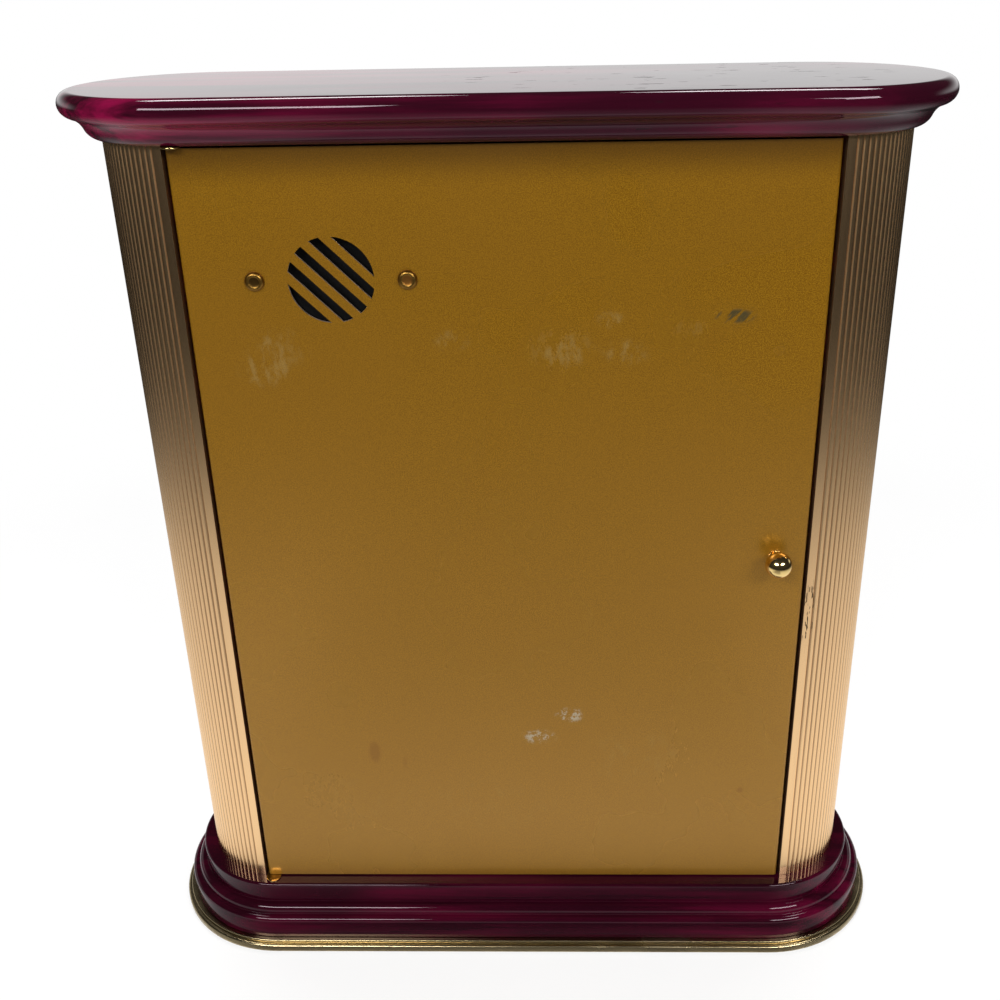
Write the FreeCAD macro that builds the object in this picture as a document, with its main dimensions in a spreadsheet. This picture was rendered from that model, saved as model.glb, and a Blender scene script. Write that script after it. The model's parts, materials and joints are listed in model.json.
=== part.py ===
import FreeCAD, Part
import Sketcher
import os
import re
from FreeCAD import Placement, Rotation, Vector

# Oval mantel clock: a lacquered base and top, half-round reeded ends, a hinged metal back door
# with a speaker, and a quartz chime movement with a swinging pendulum behind a glazed front.
#
# Millimetres. X runs to the right as the dial is read, Y to the back door, Z up.
# The origin is the centre of the footprint, on the surface that the clock stands on.

doc = FreeCAD.newDocument("mantel_clock")
sheet = doc.addObject("Spreadsheet::Sheet", "sizes")

# Driving sizes, each written once, in groups by the piece that it belongs to.
SIZES = {
    # case, in plan a straight-sided oval
    "body_width": 242.6,
    "body_depth": 59.4,
    "body_height": 266.0,
    # reeded end shells
    "column_wall": 1.6,
    "column_flange": 9.0,
    "reed_count": 40,
    "reed_angle": 3.74,
    "reed_rise": 0.42,
    "lip_step_angle": 0.9,
    # top board: a bullnose over an ovolo, joined by a cove that touches both
    "top_thickness": 13.7,
    "top_overhang": 11.05,
    "bullnose_radius": 3.7,
    "cove_radius": 6.0,
    "ovolo_radius": 4.6,
    "ovolo_set_out": 0.4,
    # wooden base, two steps and a bead
    "base_height": 20.1,
    "step_round": 1.8,
    "lower_ledge": 0.8,
    "bead_height": 3.3,
    "bead_round": 2.6,
    "upper_ledge": 0.6,
    "upper_step_overhang": 5.0,
    "upper_step_height": 7.9,
    "upper_step_round": 1.0,
    # brass plate under the base
    "plate_show": 3.2,
    "plate_height": 3.9,
    "plate_lip_height": 2.6,
    "plate_lip_round": 0.9,
    "plate_lip_width": 1.5,
    "plate_seat_round": 0.4,
    "plate_rim_width": 13.0,
    "plate_recess": 2.6,
    # felt pads
    "pad_radius": 5.0,
    "pad_thickness": 1.0,
    # case uprights
    "upright_thickness": 10.0,
    "upright_rear_setback": 6.0,
    # opening, door and its fit
    "door_width": 190.0,
    "door_gap": 1.2,
    "door_end_gap": 0.6,
    "door_sheet": 1.0,
    "door_fold": 3.0,
    "door_corner": 1.0,
    "hinge_inset": 2.0,
    "hinge_depth": 2.6,
    "hinge_pin_radius": 0.9,
    "hinge_pin_engage": 5.0,
    "hinge_ear_inside": 2.8,
    "hinge_ear_outside": 1.6,
    "hinge_ear_depth": 5.2,
    "lug_width": 5.4,
    "lug_reach": 3.6,
    "lug_thickness": 0.4,
    "running_clearance": 0.06,
    # speaker grille and speaker
    "grille_across": 51.25,
    "grille_drop": 38.8,
    "grille_radius": 12.9,
    "grille_pitch": 5.57,
    "grille_bar_count": 4,
    "grille_bar": 2.7,
    "grille_bar_angle": 45.0,
    "rivet_spacing": 45.2,
    "rivet_head_radius": 2.9,
    "rivet_head_height": 1.3,
    "rivet_rim": 0.35,
    "rivet_shank_radius": 1.1,
    "rivet_foot_radius": 1.9,
    "rivet_foot_height": 0.8,
    "speaker_flange_radius": 19.0,
    "speaker_flange": 1.0,
    "speaker_seat_radius": 16.5,
    "speaker_ear_radius": 3.6,
    "speaker_basket_depth": 8.0,
    "speaker_basket_radius": 10.5,
    "speaker_wall": 0.8,
    "speaker_magnet_radius": 12.0,
    "speaker_magnet_height": 5.0,
    "cone_paper": 0.5,
    "cone_depth": 5.2,
    "dust_cap_radius": 5.0,
    # door knob
    "knob_inset": 9.7,
    "knob_up": 134.5,
    "knob_radius": 4.3,
    "knob_stem_radius": 1.7,
    "knob_stem_length": 2.0,
    "knob_foot_radius": 2.6,
    "knob_foot_height": 0.8,
    "knob_screw_radius": 1.25,
    "knob_screw_length": 4.0,
    "knob_screw_head_radius": 2.6,
    "knob_screw_head_height": 1.6,
    # magnetic catch
    "catch_up": 176.0,
    "catch_width": 8.0,
    "catch_height": 26.0,
    "catch_depth": 16.0,
    "magnet_width": 5.0,
    "magnet_height": 18.0,
    "magnet_depth": 7.0,
    "catch_gap": 0.3,
    # front frame and glass
    "frame_member": 9.0,
    "frame_thickness": 3.0,
    "frame_bevel": 2.0,
    "frame_fit": 0.3,
    "glass_thickness": 2.0,
    # dial
    "dial_drop": 91.0,
    "dial_board_thickness": 3.0,
    "dial_board_from_glass": 11.0,
    "dial_board_height": 178.0,
    "dial_radius": 73.5,
    "dial_thickness": 0.8,
    "dial_ring_width": 6.0,
    "dial_ring_height": 4.6,
    "dial_ring_edge": 1.5,
    "dial_ring_flat": 0.8,
    "dial_ring_lap": 1.2,
    "dial_ring_lip": 0.5,
    "marker_count": 12,
    "marker_length": 6.0,
    "marker_width": 1.8,
    "marker_height": 0.6,
    "marker_from_ring": 3.2,
    # hands
    "hour_hand_length": 40.0,
    "minute_hand_length": 57.0,
    "second_hand_length": 59.0,
    "hour_hand_width": 6.4,
    "minute_hand_width": 5.0,
    "second_hand_width": 1.0,
    "hour_hub_radius": 4.4,
    "minute_hub_radius": 3.4,
    "second_hub_radius": 2.4,
    "hour_tail": 8.0,
    "minute_tail": 10.0,
    "second_tail": 16.0,
    "hand_thickness": 0.5,
    "hand_spacing": 1.6,
    "shown_hour": 10,
    "shown_minute": 9,
    "shown_second": 36,
    "hand_waist_share": 0.22,
    "hand_shoulder_share": 0.72,
    # shafts
    "bush_radius": 4.0,
    "bush_length": 7.0,
    "hour_tube_radius": 2.6,
    "minute_tube_radius": 1.5,
    "second_shaft_radius": 0.6,
    "washer_radius": 8.0,
    "washer_thickness": 0.6,
    "nut_across": 12.0,
    "nut_height": 2.0,
    # movement
    "movement_half_width": 48.0,
    "movement_depth": 24.0,
    "movement_wall": 2.0,
    "cover_thickness": 2.0,
    "cover_screw_radius": 1.2,
    "cover_screw_head_radius": 2.3,
    "cover_screw_head_height": 1.2,
    "cover_screw_length": 8.0,
    "boss_radius": 3.2,
    "battery_radius": 7.1,
    "battery_length": 49.0,
    "battery_cap_radius": 2.7,
    "battery_cap_height": 1.2,
    "battery_bay_width": 29.4,
    "battery_bay_height": 56.0,
    "battery_bay_depth": 16.0,
    "contact_thickness": 0.4,
    "contact_width": 7.0,
    "spring_wall": 0.5,
    "spring_radius": 4.6,
    "spring_tip_radius": 2.2,
    # gears, each a thin wheel
    "gear_thickness": 1.2,
    "gear_layer": 2.0,
    "tooth_depth": 1.0,
    "mesh_clearance": 0.1,
    "hour_wheel_radius": 12.0,
    "motion_pinion_radius": 3.0,
    "motion_wheel_radius": 11.25,
    "minute_pinion_radius": 3.75,
    "center_wheel_radius": 13.8,
    "second_wheel_radius": 13.0,
    "wheel_tooth_count": 36,
    "pinion_tooth_count": 12,
    "motion_arbor_radius": 1.2,
    "set_knob_radius": 7.0,
    "set_knob_height": 6.0,
    "set_knob_flute_count": 18,
    "set_knob_flute": 0.6,
    "set_knob_gap": 0.6,
    # electronics
    "board_width": 13.0,
    "board_height": 44.0,
    "board_end_gap": 1.6,
    "board_thickness": 1.2,
    "coil_radius": 4.0,
    "coil_cheek_radius": 5.0,
    "coil_length": 16.0,
    "coil_cheek": 1.0,
    # switches on the back of the movement
    "slider_width": 5.0,
    "slider_height": 4.0,
    "slider_proud": 2.6,
    "slider_travel": 6.0,
    "slider_clearance": 0.2,
    "slider_foot": 1.2,
    "slider_foot_depth": 1.0,
    "slider_drop": 20.0,
    "slider_start": 38.0,
    "slider_spacing": 20.0,
    # pendulum
    "drive_half_width": 16.0,
    "drive_height": 18.0,
    "drive_depth": 20.0,
    "drive_slot_depth": 6.0,
    "drive_slot_half_width": 12.0,
    "drive_wall": 2.0,
    "pivot_drop": 7.0,
    "pivot_radius": 1.0,
    "hanger_width": 5.0,
    "hanger_thickness": 1.6,
    "hanger_length": 26.0,
    "hanger_block_depth": 4.0,
    "hanger_block_height": 8.0,
    "rod_socket": 4.0,
    "rod_radius": 1.0,
    "bob_radius": 21.0,
    "bob_half_thickness": 3.2,
    "bob_edge": 0.8,
    "bob_rise": 12.0,
    "pendulum_floor_share": 0.3214285714,
    "rating_nut_across": 6.0,
    "rating_nut_height": 4.0,
    "chamber_back_thickness": 2.5,
    "chamber_back_gap": 7.0,
    # fasteners of the case
    "tie_rod_radius": 2.0,
    "tie_rod_inset": 12.0,
    "tie_rod_top": 7.0,
    "tie_nut_across": 7.0,
    "tie_nut_height": 3.2,
    "screw_radius": 1.75,
    "screw_head_radius": 3.4,
    "screw_head_height": 2.0,
    "upright_screw_length": 34.0,
    "upright_screw_spacing": 30.0,
    "plate_screw_length": 12.0,
    "plate_screw_across": 60.0,
    "overrun": 1.0,
}

# Heights, depths and distances that follow from the driving sizes.
PLACES = {
    "end_radius": "body_depth / 2",
    "end_center": "(body_width - body_depth) / 2",
    "plate_bottom": "pad_thickness",
    "base_bottom": "plate_bottom + plate_height",
    "base_top": "base_bottom + base_height",
    "ceiling": "base_top + body_height",
    "top_edge": "end_radius + top_overhang",
    "nose_across": "top_edge - bullnose_radius",
    "nose_up": "top_thickness - bullnose_radius",
    "ovolo_across": "end_radius + ovolo_set_out",
    "nose_run": "nose_across - ovolo_across",
    "nose_rise": "nose_up - ovolo_radius",
    "nose_span": "sqrt(nose_run * nose_run + nose_rise * nose_rise)",
    "cove_to_ovolo": "cove_radius + ovolo_radius",
    "cove_to_nose": "cove_radius + bullnose_radius",
    "cove_lead": "cove_to_ovolo * cove_to_ovolo - cove_to_nose * cove_to_nose",
    "cove_along": "(nose_span + cove_lead / nose_span) / 2",
    "cove_aside": "sqrt(cove_to_ovolo * cove_to_ovolo - cove_along * cove_along)",
    "cove_run": "(cove_along * nose_run + cove_aside * nose_rise) / nose_span",
    "cove_fall": "(cove_aside * nose_run - cove_along * nose_rise) / nose_span",
    "upper_step_edge": "end_radius + upper_step_overhang",
    "bead_edge": "upper_step_edge + upper_ledge + bead_round",
    "base_edge": "bead_edge + lower_ledge + step_round",
    "plate_edge": "base_edge + plate_show",
    "valley_radius": "end_radius - reed_rise",
    "reed_half_chord": "valley_radius * sin(reed_angle / 2)",
    "reed_crest": "end_radius - valley_radius * cos(reed_angle / 2)",
    "reed_radius": "(reed_half_chord * reed_half_chord + reed_crest * reed_crest) / (2 * reed_crest)",
    "reeded_half_angle": "reed_count * reed_angle / 2",
    "lip_x": "opening_half - end_center",
    "lip_y": "sqrt(end_radius * end_radius - lip_x * lip_x)",
    "inner_radius": "valley_radius - column_wall",
    "flange_back": "lip_x + column_wall",
    "inner_y": "sqrt(inner_radius * inner_radius - flange_back * flange_back)",
    "opening_half": "door_width / 2 + door_gap",
    "upright_inner": "opening_half - upright_thickness",
    "frame_back": "0 - end_radius + frame_thickness",
    "glass_back": "frame_back + glass_thickness",
    "upright_rear": "end_radius - upright_rear_setback",
    "dial_board_back": "glass_back + dial_board_from_glass + dial_board_thickness",
    "dial_board_front": "glass_back + dial_board_from_glass",
    "dial_front": "dial_board_front - dial_thickness",
    "dial_z": "ceiling - dial_drop",
    "door_inner": "end_radius - door_sheet",
    "door_bottom": "base_top + door_end_gap",
    "door_height": "body_height - 2 * door_end_gap",
    "hinge_x": "door_width / 2 - hinge_inset",
    "hinge_y": "end_radius - hinge_depth",
    "grille_z": "ceiling - grille_drop",
    "knob_across": "door_width / 2 - knob_inset",
    "knob_z": "base_top + knob_up",
    "movement_front": "dial_board_back",
    "movement_back": "movement_front + movement_depth",
    "cover_inner": "movement_back - cover_thickness",
    "gear_start": "movement_front + movement_wall + mesh_clearance",
    "mesh_distance": "hour_wheel_radius + motion_pinion_radius + mesh_clearance",
    "washer_front": "dial_front - washer_thickness",
    "second_turn": "6 * shown_second",
    "minute_turn": "6 * shown_minute + second_turn / 60",
    "hour_turn": "30 * shown_hour + minute_turn / 12",
    "hour_hand_y": "movement_front - bush_length - hand_thickness",
    "minute_hand_y": "hour_hand_y - hand_spacing",
    "second_hand_y": "minute_hand_y - hand_spacing",
    "movement_half_height": "board_height / 2 + board_end_gap + 2 * boss_radius + movement_wall",
    "drive_top": "dial_z - movement_half_height",
    "pendulum_y": "movement_front + drive_depth / 2",
    "pivot_z": "drive_top - pivot_drop",
    "hanger_bottom": "pivot_z - hanger_length",
    "bay_right": "movement_half_width - movement_wall",
    "bay_left": "bay_right - battery_bay_width",
    "bay_bottom": "dial_z - battery_bay_height / 2",
    "bay_front": "movement_back - battery_bay_depth",
    "pendulum_room": "hanger_bottom - base_top - 2 * bob_radius - bob_rise",
    "rod_bottom": "base_top + pendulum_floor_share * pendulum_room",
    "rod_length": "hanger_bottom + rod_socket - rod_bottom",
    "bob_z": "rod_bottom + bob_rise + bob_radius",
    "tie_rod_x": "end_center + tie_rod_inset",
    "frame_half": "opening_half - frame_fit",
    "knob_ball_center": "knob_stem_length + ball_reach",
    "rivet_swell": "rivet_head_height - rivet_rim",
    "rivet_dome": "(rivet_head_radius * rivet_head_radius + rivet_swell * rivet_swell) / (2 * rivet_swell)",
    "cone_start": "speaker_flange + frame_fit",
    "compartment_right": "bay_left - movement_wall",
    "compartment_left": "movement_wall - movement_half_width",
    "inner_half_height": "movement_half_height - movement_wall",
    "knob_back_start": "movement_back + set_knob_gap",
    "coil_y": "movement_front + movement_wall + board_thickness + coil_cheek_radius + running_clearance",
    "spring_length": "battery_bay_height - battery_length - battery_cap_height - 2 * contact_thickness",
    "ring_edge": "dial_radius + dial_ring_width",
    "ring_crown": "dial_ring_height - dial_ring_edge",
    "lug_center": "end_radius + lug_reach - lug_width / 2",
    "lug_start": "upright_rear + frame_fit",
    "upright_middle": "opening_half - upright_thickness / 2",
    "cone_mouth": "speaker_seat_radius - speaker_wall",
    "slider_z": "dial_z - slider_drop",
    "battery_y": "bay_front + battery_radius + frame_fit",
    "bob_curve": "(bob_radius * bob_radius + bob_swell * bob_swell) / (2 * bob_swell)",
    "bob_swell": "bob_half_thickness - bob_edge",
    "chamber_back_height": "drive_top - drive_height - chamber_back_gap - base_top",
    "ball_reach": "sqrt(knob_radius * knob_radius - knob_stem_radius * knob_stem_radius)",
}

ROW_OF = {alias: row for row, alias in enumerate(SIZES, start=1)}
for alias, row in ROW_OF.items():
    sheet.set(f"A{row}", alias)
    sheet.set(f"B{row}", str(SIZES[alias]))
    sheet.setAlias(f"B{row}", alias)
doc.recompute()


def tied(text):
    """Give an expression its full form, with each size read from the sheet."""

    def full(word):
        name = word.group()
        if name in PLACES:
            return "(" + tied(PLACES[name]) + ")"
        return "sizes." + name if name in ROW_OF else name

    return re.sub(r"[a-z][a-z_]*", full, text)


def value(text):
    return float(sheet.evalExpression(tied(text)))


def count(alias):
    return round(value(alias))


def bind(thing, **expressions):
    for name, text in expressions.items():
        thing.setExpression(name, tied(text))


def place(thing, at, turn=None):
    """Put an object at three expressions, after turning it if it lies another way."""
    if turn:
        thing.Placement = Placement(Vector(), turn)
    for name, text in zip("xyz", at):
        thing.setExpression(f"Placement.Base.{name}", tied(text))


ALONG = {
    "x": Rotation(Vector(0, 0, 1), Vector(1, 0, 0)),
    "y": Rotation(Vector(0, 0, 1), Vector(0, 1, 0)),
    "z": None,
}


def box(name, length, at):
    thing = doc.addObject("Part::Box", name)
    bind(thing, Length=length[0], Width=length[1], Height=length[2])
    place(thing, at)
    return thing


def rod(name, radius, length, at, along="z"):
    thing = doc.addObject("Part::Cylinder", name)
    bind(thing, Radius=radius, Height=length)
    place(thing, at, ALONG[along])
    return thing


def cone(name, radius_from, radius_to, length, at, along="z"):
    thing = doc.addObject("Part::Cone", name)
    bind(thing, Radius1=radius_from, Radius2=radius_to, Height=length)
    place(thing, at, ALONG[along])
    return thing


def join(name, *shapes):
    thing = doc.addObject("Part::MultiFuse", name)
    thing.Shapes = list(shapes)
    thing.Refine = True
    return thing


def cut(name, base, *tools):
    thing = doc.addObject("Part::Cut", name)
    thing.Base = base
    thing.Tool = tools[0] if len(tools) == 1 else join(name + "_tools", *tools)
    thing.Refine = True
    return thing


def group(name, *solids):
    thing = doc.addObject("Part::Compound", name)
    thing.Links = list(solids)
    return thing


def origin_plane(body, role):
    return next(plane for plane in body.Origin.OriginFeatures if plane.Role == role)


def new_sketch(body, name, role):
    sketch = body.newObject("Sketcher::SketchObject", name)
    sketch.AttachmentSupport = [(origin_plane(body, role), "")]
    sketch.MapMode = "FlatFace"
    return sketch


def fix_point(sketch, rules, index, end, corner):
    for kind, text in zip(("DistanceX", "DistanceY"), corner):
        rules.append((Sketcher.Constraint(kind, -1, 1, index, end, value(text)), text))


def arc_between(start, finish, radius, side):
    """Arc under a half circle, bulging to the right of its run where side is 1, else to the left."""
    run = finish - start
    sagitta = radius - (radius**2 - (run.Length / 2) ** 2) ** 0.5
    bulge = Vector(run.y, -run.x, 0).normalize() * sagitta * side
    return Part.Arc(start, (start + finish) / 2 + bulge, finish)


def nearer_end(sketch, index, spot):
    """Number of the end of a line or an arc that lies at a spot, 1 for its start and 2 for its end."""
    return min((1, 2), key=lambda end: sketch.getPoint(index, end).distanceToPoint(spot))


def draw(sketch, loop):
    """Draw a closed loop of corners. A corner is two expressions, or four where an arc arrives at it:
    the arc's radius and its side follow. A circle is its centre and radius."""
    rules = []
    meetings = []
    if len(loop) == 1:
        across, up, radius = loop[0]
        middle = Vector(value(across), value(up), 0)
        index = sketch.addGeometry(Part.Circle(middle, Vector(0, 0, 1), value(radius)))
        fix_point(sketch, rules, index, 3, (across, up))
        rules.append((Sketcher.Constraint("Radius", index, value(radius)), radius))
    else:
        spots = [Vector(value(corner[0]), value(corner[1]), 0) for corner in loop]
        first = sketch.GeometryCount
        for number, corner in enumerate(loop):
            start = spots[number - 1]
            finish = spots[number]
            if len(corner) == 2:
                index = sketch.addGeometry(Part.LineSegment(start, finish))
                fix_point(sketch, rules, index, 2, corner)
                continue
            radius, side = corner[2:]
            index = sketch.addGeometry(arc_between(start, finish, value(radius), side))
            end = nearer_end(sketch, index, finish)
            fix_point(sketch, rules, index, end, corner[:2])
            rules.append((Sketcher.Constraint("Radius", index, value(radius)), radius))
        last = sketch.GeometryCount - 1
        for index in range(first, last + 1):
            previous = last if index == first else index - 1
            meet = spots[index - first - 1]
            ends = [nearer_end(sketch, piece, meet) for piece in (previous, index)]
            meetings.append(Sketcher.Constraint("Coincident", previous, ends[0], index, ends[1]))
    sketch.addConstraint(meetings)
    numbers = sketch.addConstraint([rule for rule, text in rules])
    for number, (rule, text) in zip(numbers, rules):
        sketch.setExpression(f"Constraints[{number}]", tied(text))


def padded(name, role, loops, length, at, turn=None, midplane=False):
    """A body padded from loops on one of its own origin planes. XZ pads run to the front."""
    body = doc.addObject("PartDesign::Body", name)
    sketch = new_sketch(body, name + "_outline", role)
    for loop in loops:
        draw(sketch, loop)
    pad = body.newObject("PartDesign::Pad", name + "_pad")
    pad.Profile = sketch
    pad.Midplane = midplane
    bind(pad, Length=length)
    place(body, at, turn)
    return body


def turned(name, loop, at, turn=None):
    """A body turned round its own Z axis from a half section in X and Z."""
    body = doc.addObject("PartDesign::Body", name)
    sketch = new_sketch(body, name + "_section", "XZ_Plane")
    draw(sketch, loop)
    spin = body.newObject("PartDesign::Revolution", name + "_turning")
    spin.Profile = sketch
    spin.ReferenceAxis = (sketch, ["V_Axis"])
    spin.Angle = 360
    place(body, at, turn)
    return body


def moulded(name, section, at):
    """An oval moulding. The section runs from the end's axis outwards, x from that axis and y up:
    its mirror image closes the straight part, and a half turn of it closes each end."""
    body = doc.addObject("PartDesign::Body", name)
    across = new_sketch(body, name + "_across", "YZ_Plane")
    outer = section[1:-1]
    left = []
    for number in range(len(outer) - 1, -1, -1):
        corner = (f"0 - ({outer[number][0]})", outer[number][1])
        arriving = outer[number + 1] if number + 1 < len(outer) else corner
        if len(arriving) == 4:
            corner += arriving[2:]
        left.append(corner)
    draw(across, outer + left)
    straight = body.newObject("PartDesign::Pad", name + "_straight")
    straight.Profile = across
    straight.Midplane = True
    bind(straight, Length="2 * end_center")
    end = new_sketch(body, name + "_end", "XZ_Plane")
    draw(end, section)
    end.setExpression("AttachmentOffset.Base.x", tied("end_center"))
    spin = body.newObject("PartDesign::Revolution", name + "_round_end")
    spin.Profile = end
    spin.ReferenceAxis = (end, ["V_Axis"])
    spin.Angle = 180
    spin.Midplane = True
    other = body.newObject("PartDesign::Mirrored", name + "_other_end")
    other.Originals = [spin]
    other.MirrorPlane = (origin_plane(body, "YZ_Plane"), [""])
    body.Tip = other
    place(body, at)
    return body


def oval(name, radius, height, at_height):
    """A plain oval block about the case's axis, its round ends on the ends' axes."""
    middle = box(
        name + "_middle",
        ("2 * end_center", f"2 * ({radius})", height),
        ("0 - end_center", f"0 - ({radius})", at_height),
    )
    right = rod(name + "_right", radius, height, ("end_center", "0", at_height))
    left = rod(name + "_left", radius, height, ("0 - end_center", "0", at_height))
    return join(name, middle, right, left)


TO_FRONT = Rotation(Vector(0, 0, 1), Vector(0, -1, 0))
TO_BACK = ALONG["y"]
HALF_TURN = Rotation(Vector(0, 0, 1), 180)
SIDES = (("right", ""), ("left", "0 - "))
SCREW_CORNERS = (("", ""), ("", "0 - "), ("0 - ", ""), ("0 - ", "0 - "))
RIVET_PLACES = (
    ("right", "grille_across + rivet_spacing / 2"),
    ("left", "grille_across - rivet_spacing / 2"),
)

nodes = {}


def keep(label, thing):
    """Label a finished sub-part, so that its file takes its name."""
    thing.Label = label
    nodes[label] = thing


def screw(name, at, length, turn=None):
    """A pan-head screw about its own Z axis, its head's underside at the given place."""
    head = rod(name + "_head", "screw_head_radius", "screw_head_height", ("0", "0", "0 - screw_head_height"))
    shank = rod(name + "_shank", "screw_radius", length, ("0", "0", "0"))
    whole = join(name, head, shank)
    place(whole, at, turn)
    return whole


def hexagon(across):
    """Corners of a hexagon of the given width across its flats."""
    corner = f"({across}) / 2 / cos(30)"
    return [(f"{corner} * cos({60 * step})", f"{corner} * sin({60 * step})") for step in range(6)]


# Base: felt pads, brass plate and stepped wooden moulding
def make_base():
    pad_y = "plate_edge - plate_rim_width / 2"
    pads = []
    for number, (left, front) in enumerate(SCREW_CORNERS):
        at = (left + "end_center", f"{front}({pad_y})", "0")
        pads.append(rod(f"pad_{number}", "pad_radius", "pad_thickness", at))
    keep("felt_pads", group("pads", *pads))

    plate = moulded(
        "plate",
        [
            ("0", "0"),
            ("plate_edge", "0"),
            ("plate_edge", "plate_lip_height - plate_lip_round"),
            ("plate_edge - plate_lip_round", "plate_lip_height", "plate_lip_round", 1),
            ("plate_edge - plate_lip_width", "plate_lip_height"),
            ("plate_edge - plate_lip_width", "plate_height - plate_seat_round"),
            ("plate_edge - plate_lip_width - plate_seat_round", "plate_height", "plate_seat_round", 1),
            ("0", "plate_height"),
        ],
        ("0", "0", "plate_bottom"),
    )
    recess = oval("recess", "plate_edge - plate_rim_width", "plate_recess + overrun",
                  "plate_bottom - overrun")
    holes = []
    screws = []
    web = "plate_bottom + plate_recess"
    for number, (left, front) in enumerate(SCREW_CORNERS):
        at = (left + "plate_screw_across", front + "upright_screw_spacing / 2", web)
        screws.append(screw(f"plate_screw_{number}", at, "plate_screw_length"))
        holes.append(rod(f"plate_hole_{number}", "screw_radius", "plate_screw_length", at))
    keep("base_plate", cut("pressed_plate", plate, recess, *holes))
    keep("plate_screws", group("plate_screw_set", *screws))

    block = moulded(
        "block",
        [
            ("0", "0"),
            ("base_edge", "0"),
            ("base_edge", "base_height - upper_step_height - bead_height - step_round"),
            ("base_edge - step_round", "base_height - upper_step_height - bead_height", "step_round", 1),
            ("bead_edge", "base_height - upper_step_height - bead_height"),
            ("bead_edge", "base_height - upper_step_height - bead_round"),
            ("bead_edge - bead_round", "base_height - upper_step_height", "bead_round", 1),
            ("upper_step_edge", "base_height - upper_step_height"),
            ("upper_step_edge", "base_height - upper_step_round"),
            ("upper_step_edge - upper_step_round", "base_height", "upper_step_round", 1),
            ("0", "base_height"),
        ],
        ("0", "0", "base_bottom"),
    )
    tools = []
    uprights = []
    nuts = []
    ties = []
    sink = "2 * screw_head_height"
    nut_floor = "base_bottom + 2 * tie_nut_height"
    for number, (left, front) in enumerate(SCREW_CORNERS):
        across = left + "upright_middle"
        depth = front + "upright_screw_spacing / 2"
        at = (across, depth, f"base_bottom + {sink}")
        uprights.append(screw(f"upright_screw_{number}", at, "upright_screw_length"))
        sink_at = (across, depth, "base_bottom")
        tools.append(rod(f"sink_{number}", "screw_head_radius + frame_fit", sink, sink_at))
        tools.append(rod(f"way_{number}", "screw_radius", "base_height", at))
        at = (left + "plate_screw_across", depth, "base_bottom - overrun")
        pilot_length = f"{web} + plate_screw_length - base_bottom + overrun"
        tools.append(rod(f"pilot_{number}", "screw_radius", pilot_length, at))
    for side, sign in SIDES:
        across = sign + "tie_rod_x"
        tools.append(
            rod(f"nut_well_{side}", "tie_nut_across", "2 * tie_nut_height", (across, "0", "base_bottom"))
        )
        tools.append(rod(f"tie_way_{side}", "tie_rod_radius", "base_height", (across, "0", "base_bottom")))
        length = "base_height - tie_nut_height + body_height + tie_rod_top"
        tie_at = (across, "0", "base_bottom + tie_nut_height")
        ties.append(rod(f"tie_{side}", "tie_rod_radius", length, tie_at))
        outlines = [hexagon("tie_nut_across"), [("0", "0", "tie_rod_radius")]]
        nut_at = (across, "0", f"{nut_floor} - tie_nut_height")
        nut = padded(f"tie_nut_{side}", "XY_Plane", outlines, "tie_nut_height", nut_at)
        nuts.append(nut)
    tools.append(rod("lower_pin_hole", "hinge_pin_radius", "hinge_pin_engage",
                     ("hinge_x", "hinge_y", "base_top - hinge_pin_engage")))
    keep("base_moulding", cut("wooden_base", block, *tools))
    keep("upright_screws", group("upright_screw_set", *uprights))
    keep("tie_rods", group("tie_rod_set", *ties))
    keep("tie_rod_nuts", group("tie_nut_set", *nuts))


# Top board: ovolo, cove and bullnose from below upwards
def make_top():
    board = moulded(
        "board",
        [
            ("0", "0"),
            ("ovolo_across", "0"),
            (
                "ovolo_across + cove_run * ovolo_radius / cove_to_ovolo",
                "ovolo_radius - cove_fall * ovolo_radius / cove_to_ovolo",
                "ovolo_radius",
                1,
            ),
            (
                "nose_across - (nose_run - cove_run) * bullnose_radius / cove_to_nose",
                "nose_up - (nose_rise + cove_fall) * bullnose_radius / cove_to_nose",
                "cove_radius",
                -1,
            ),
            ("top_edge", "nose_up", "bullnose_radius", 1),
            ("nose_across", "top_thickness", "bullnose_radius", 1),
            ("0", "top_thickness"),
        ],
        ("0", "0", "ceiling"),
    )
    tools = [
        rod(f"tie_socket_{side}", "tie_rod_radius", "tie_rod_top + overrun",
            (sign + "tie_rod_x", "0", "ceiling - overrun"))
        for side, sign in SIDES
    ]
    pin = rod("upper_pin_hole", "hinge_pin_radius", "hinge_pin_engage + overrun",
              ("hinge_x", "hinge_y", "ceiling - overrun"))
    keep("top_board", cut("wooden_top", board, pin, *tools))


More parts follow.
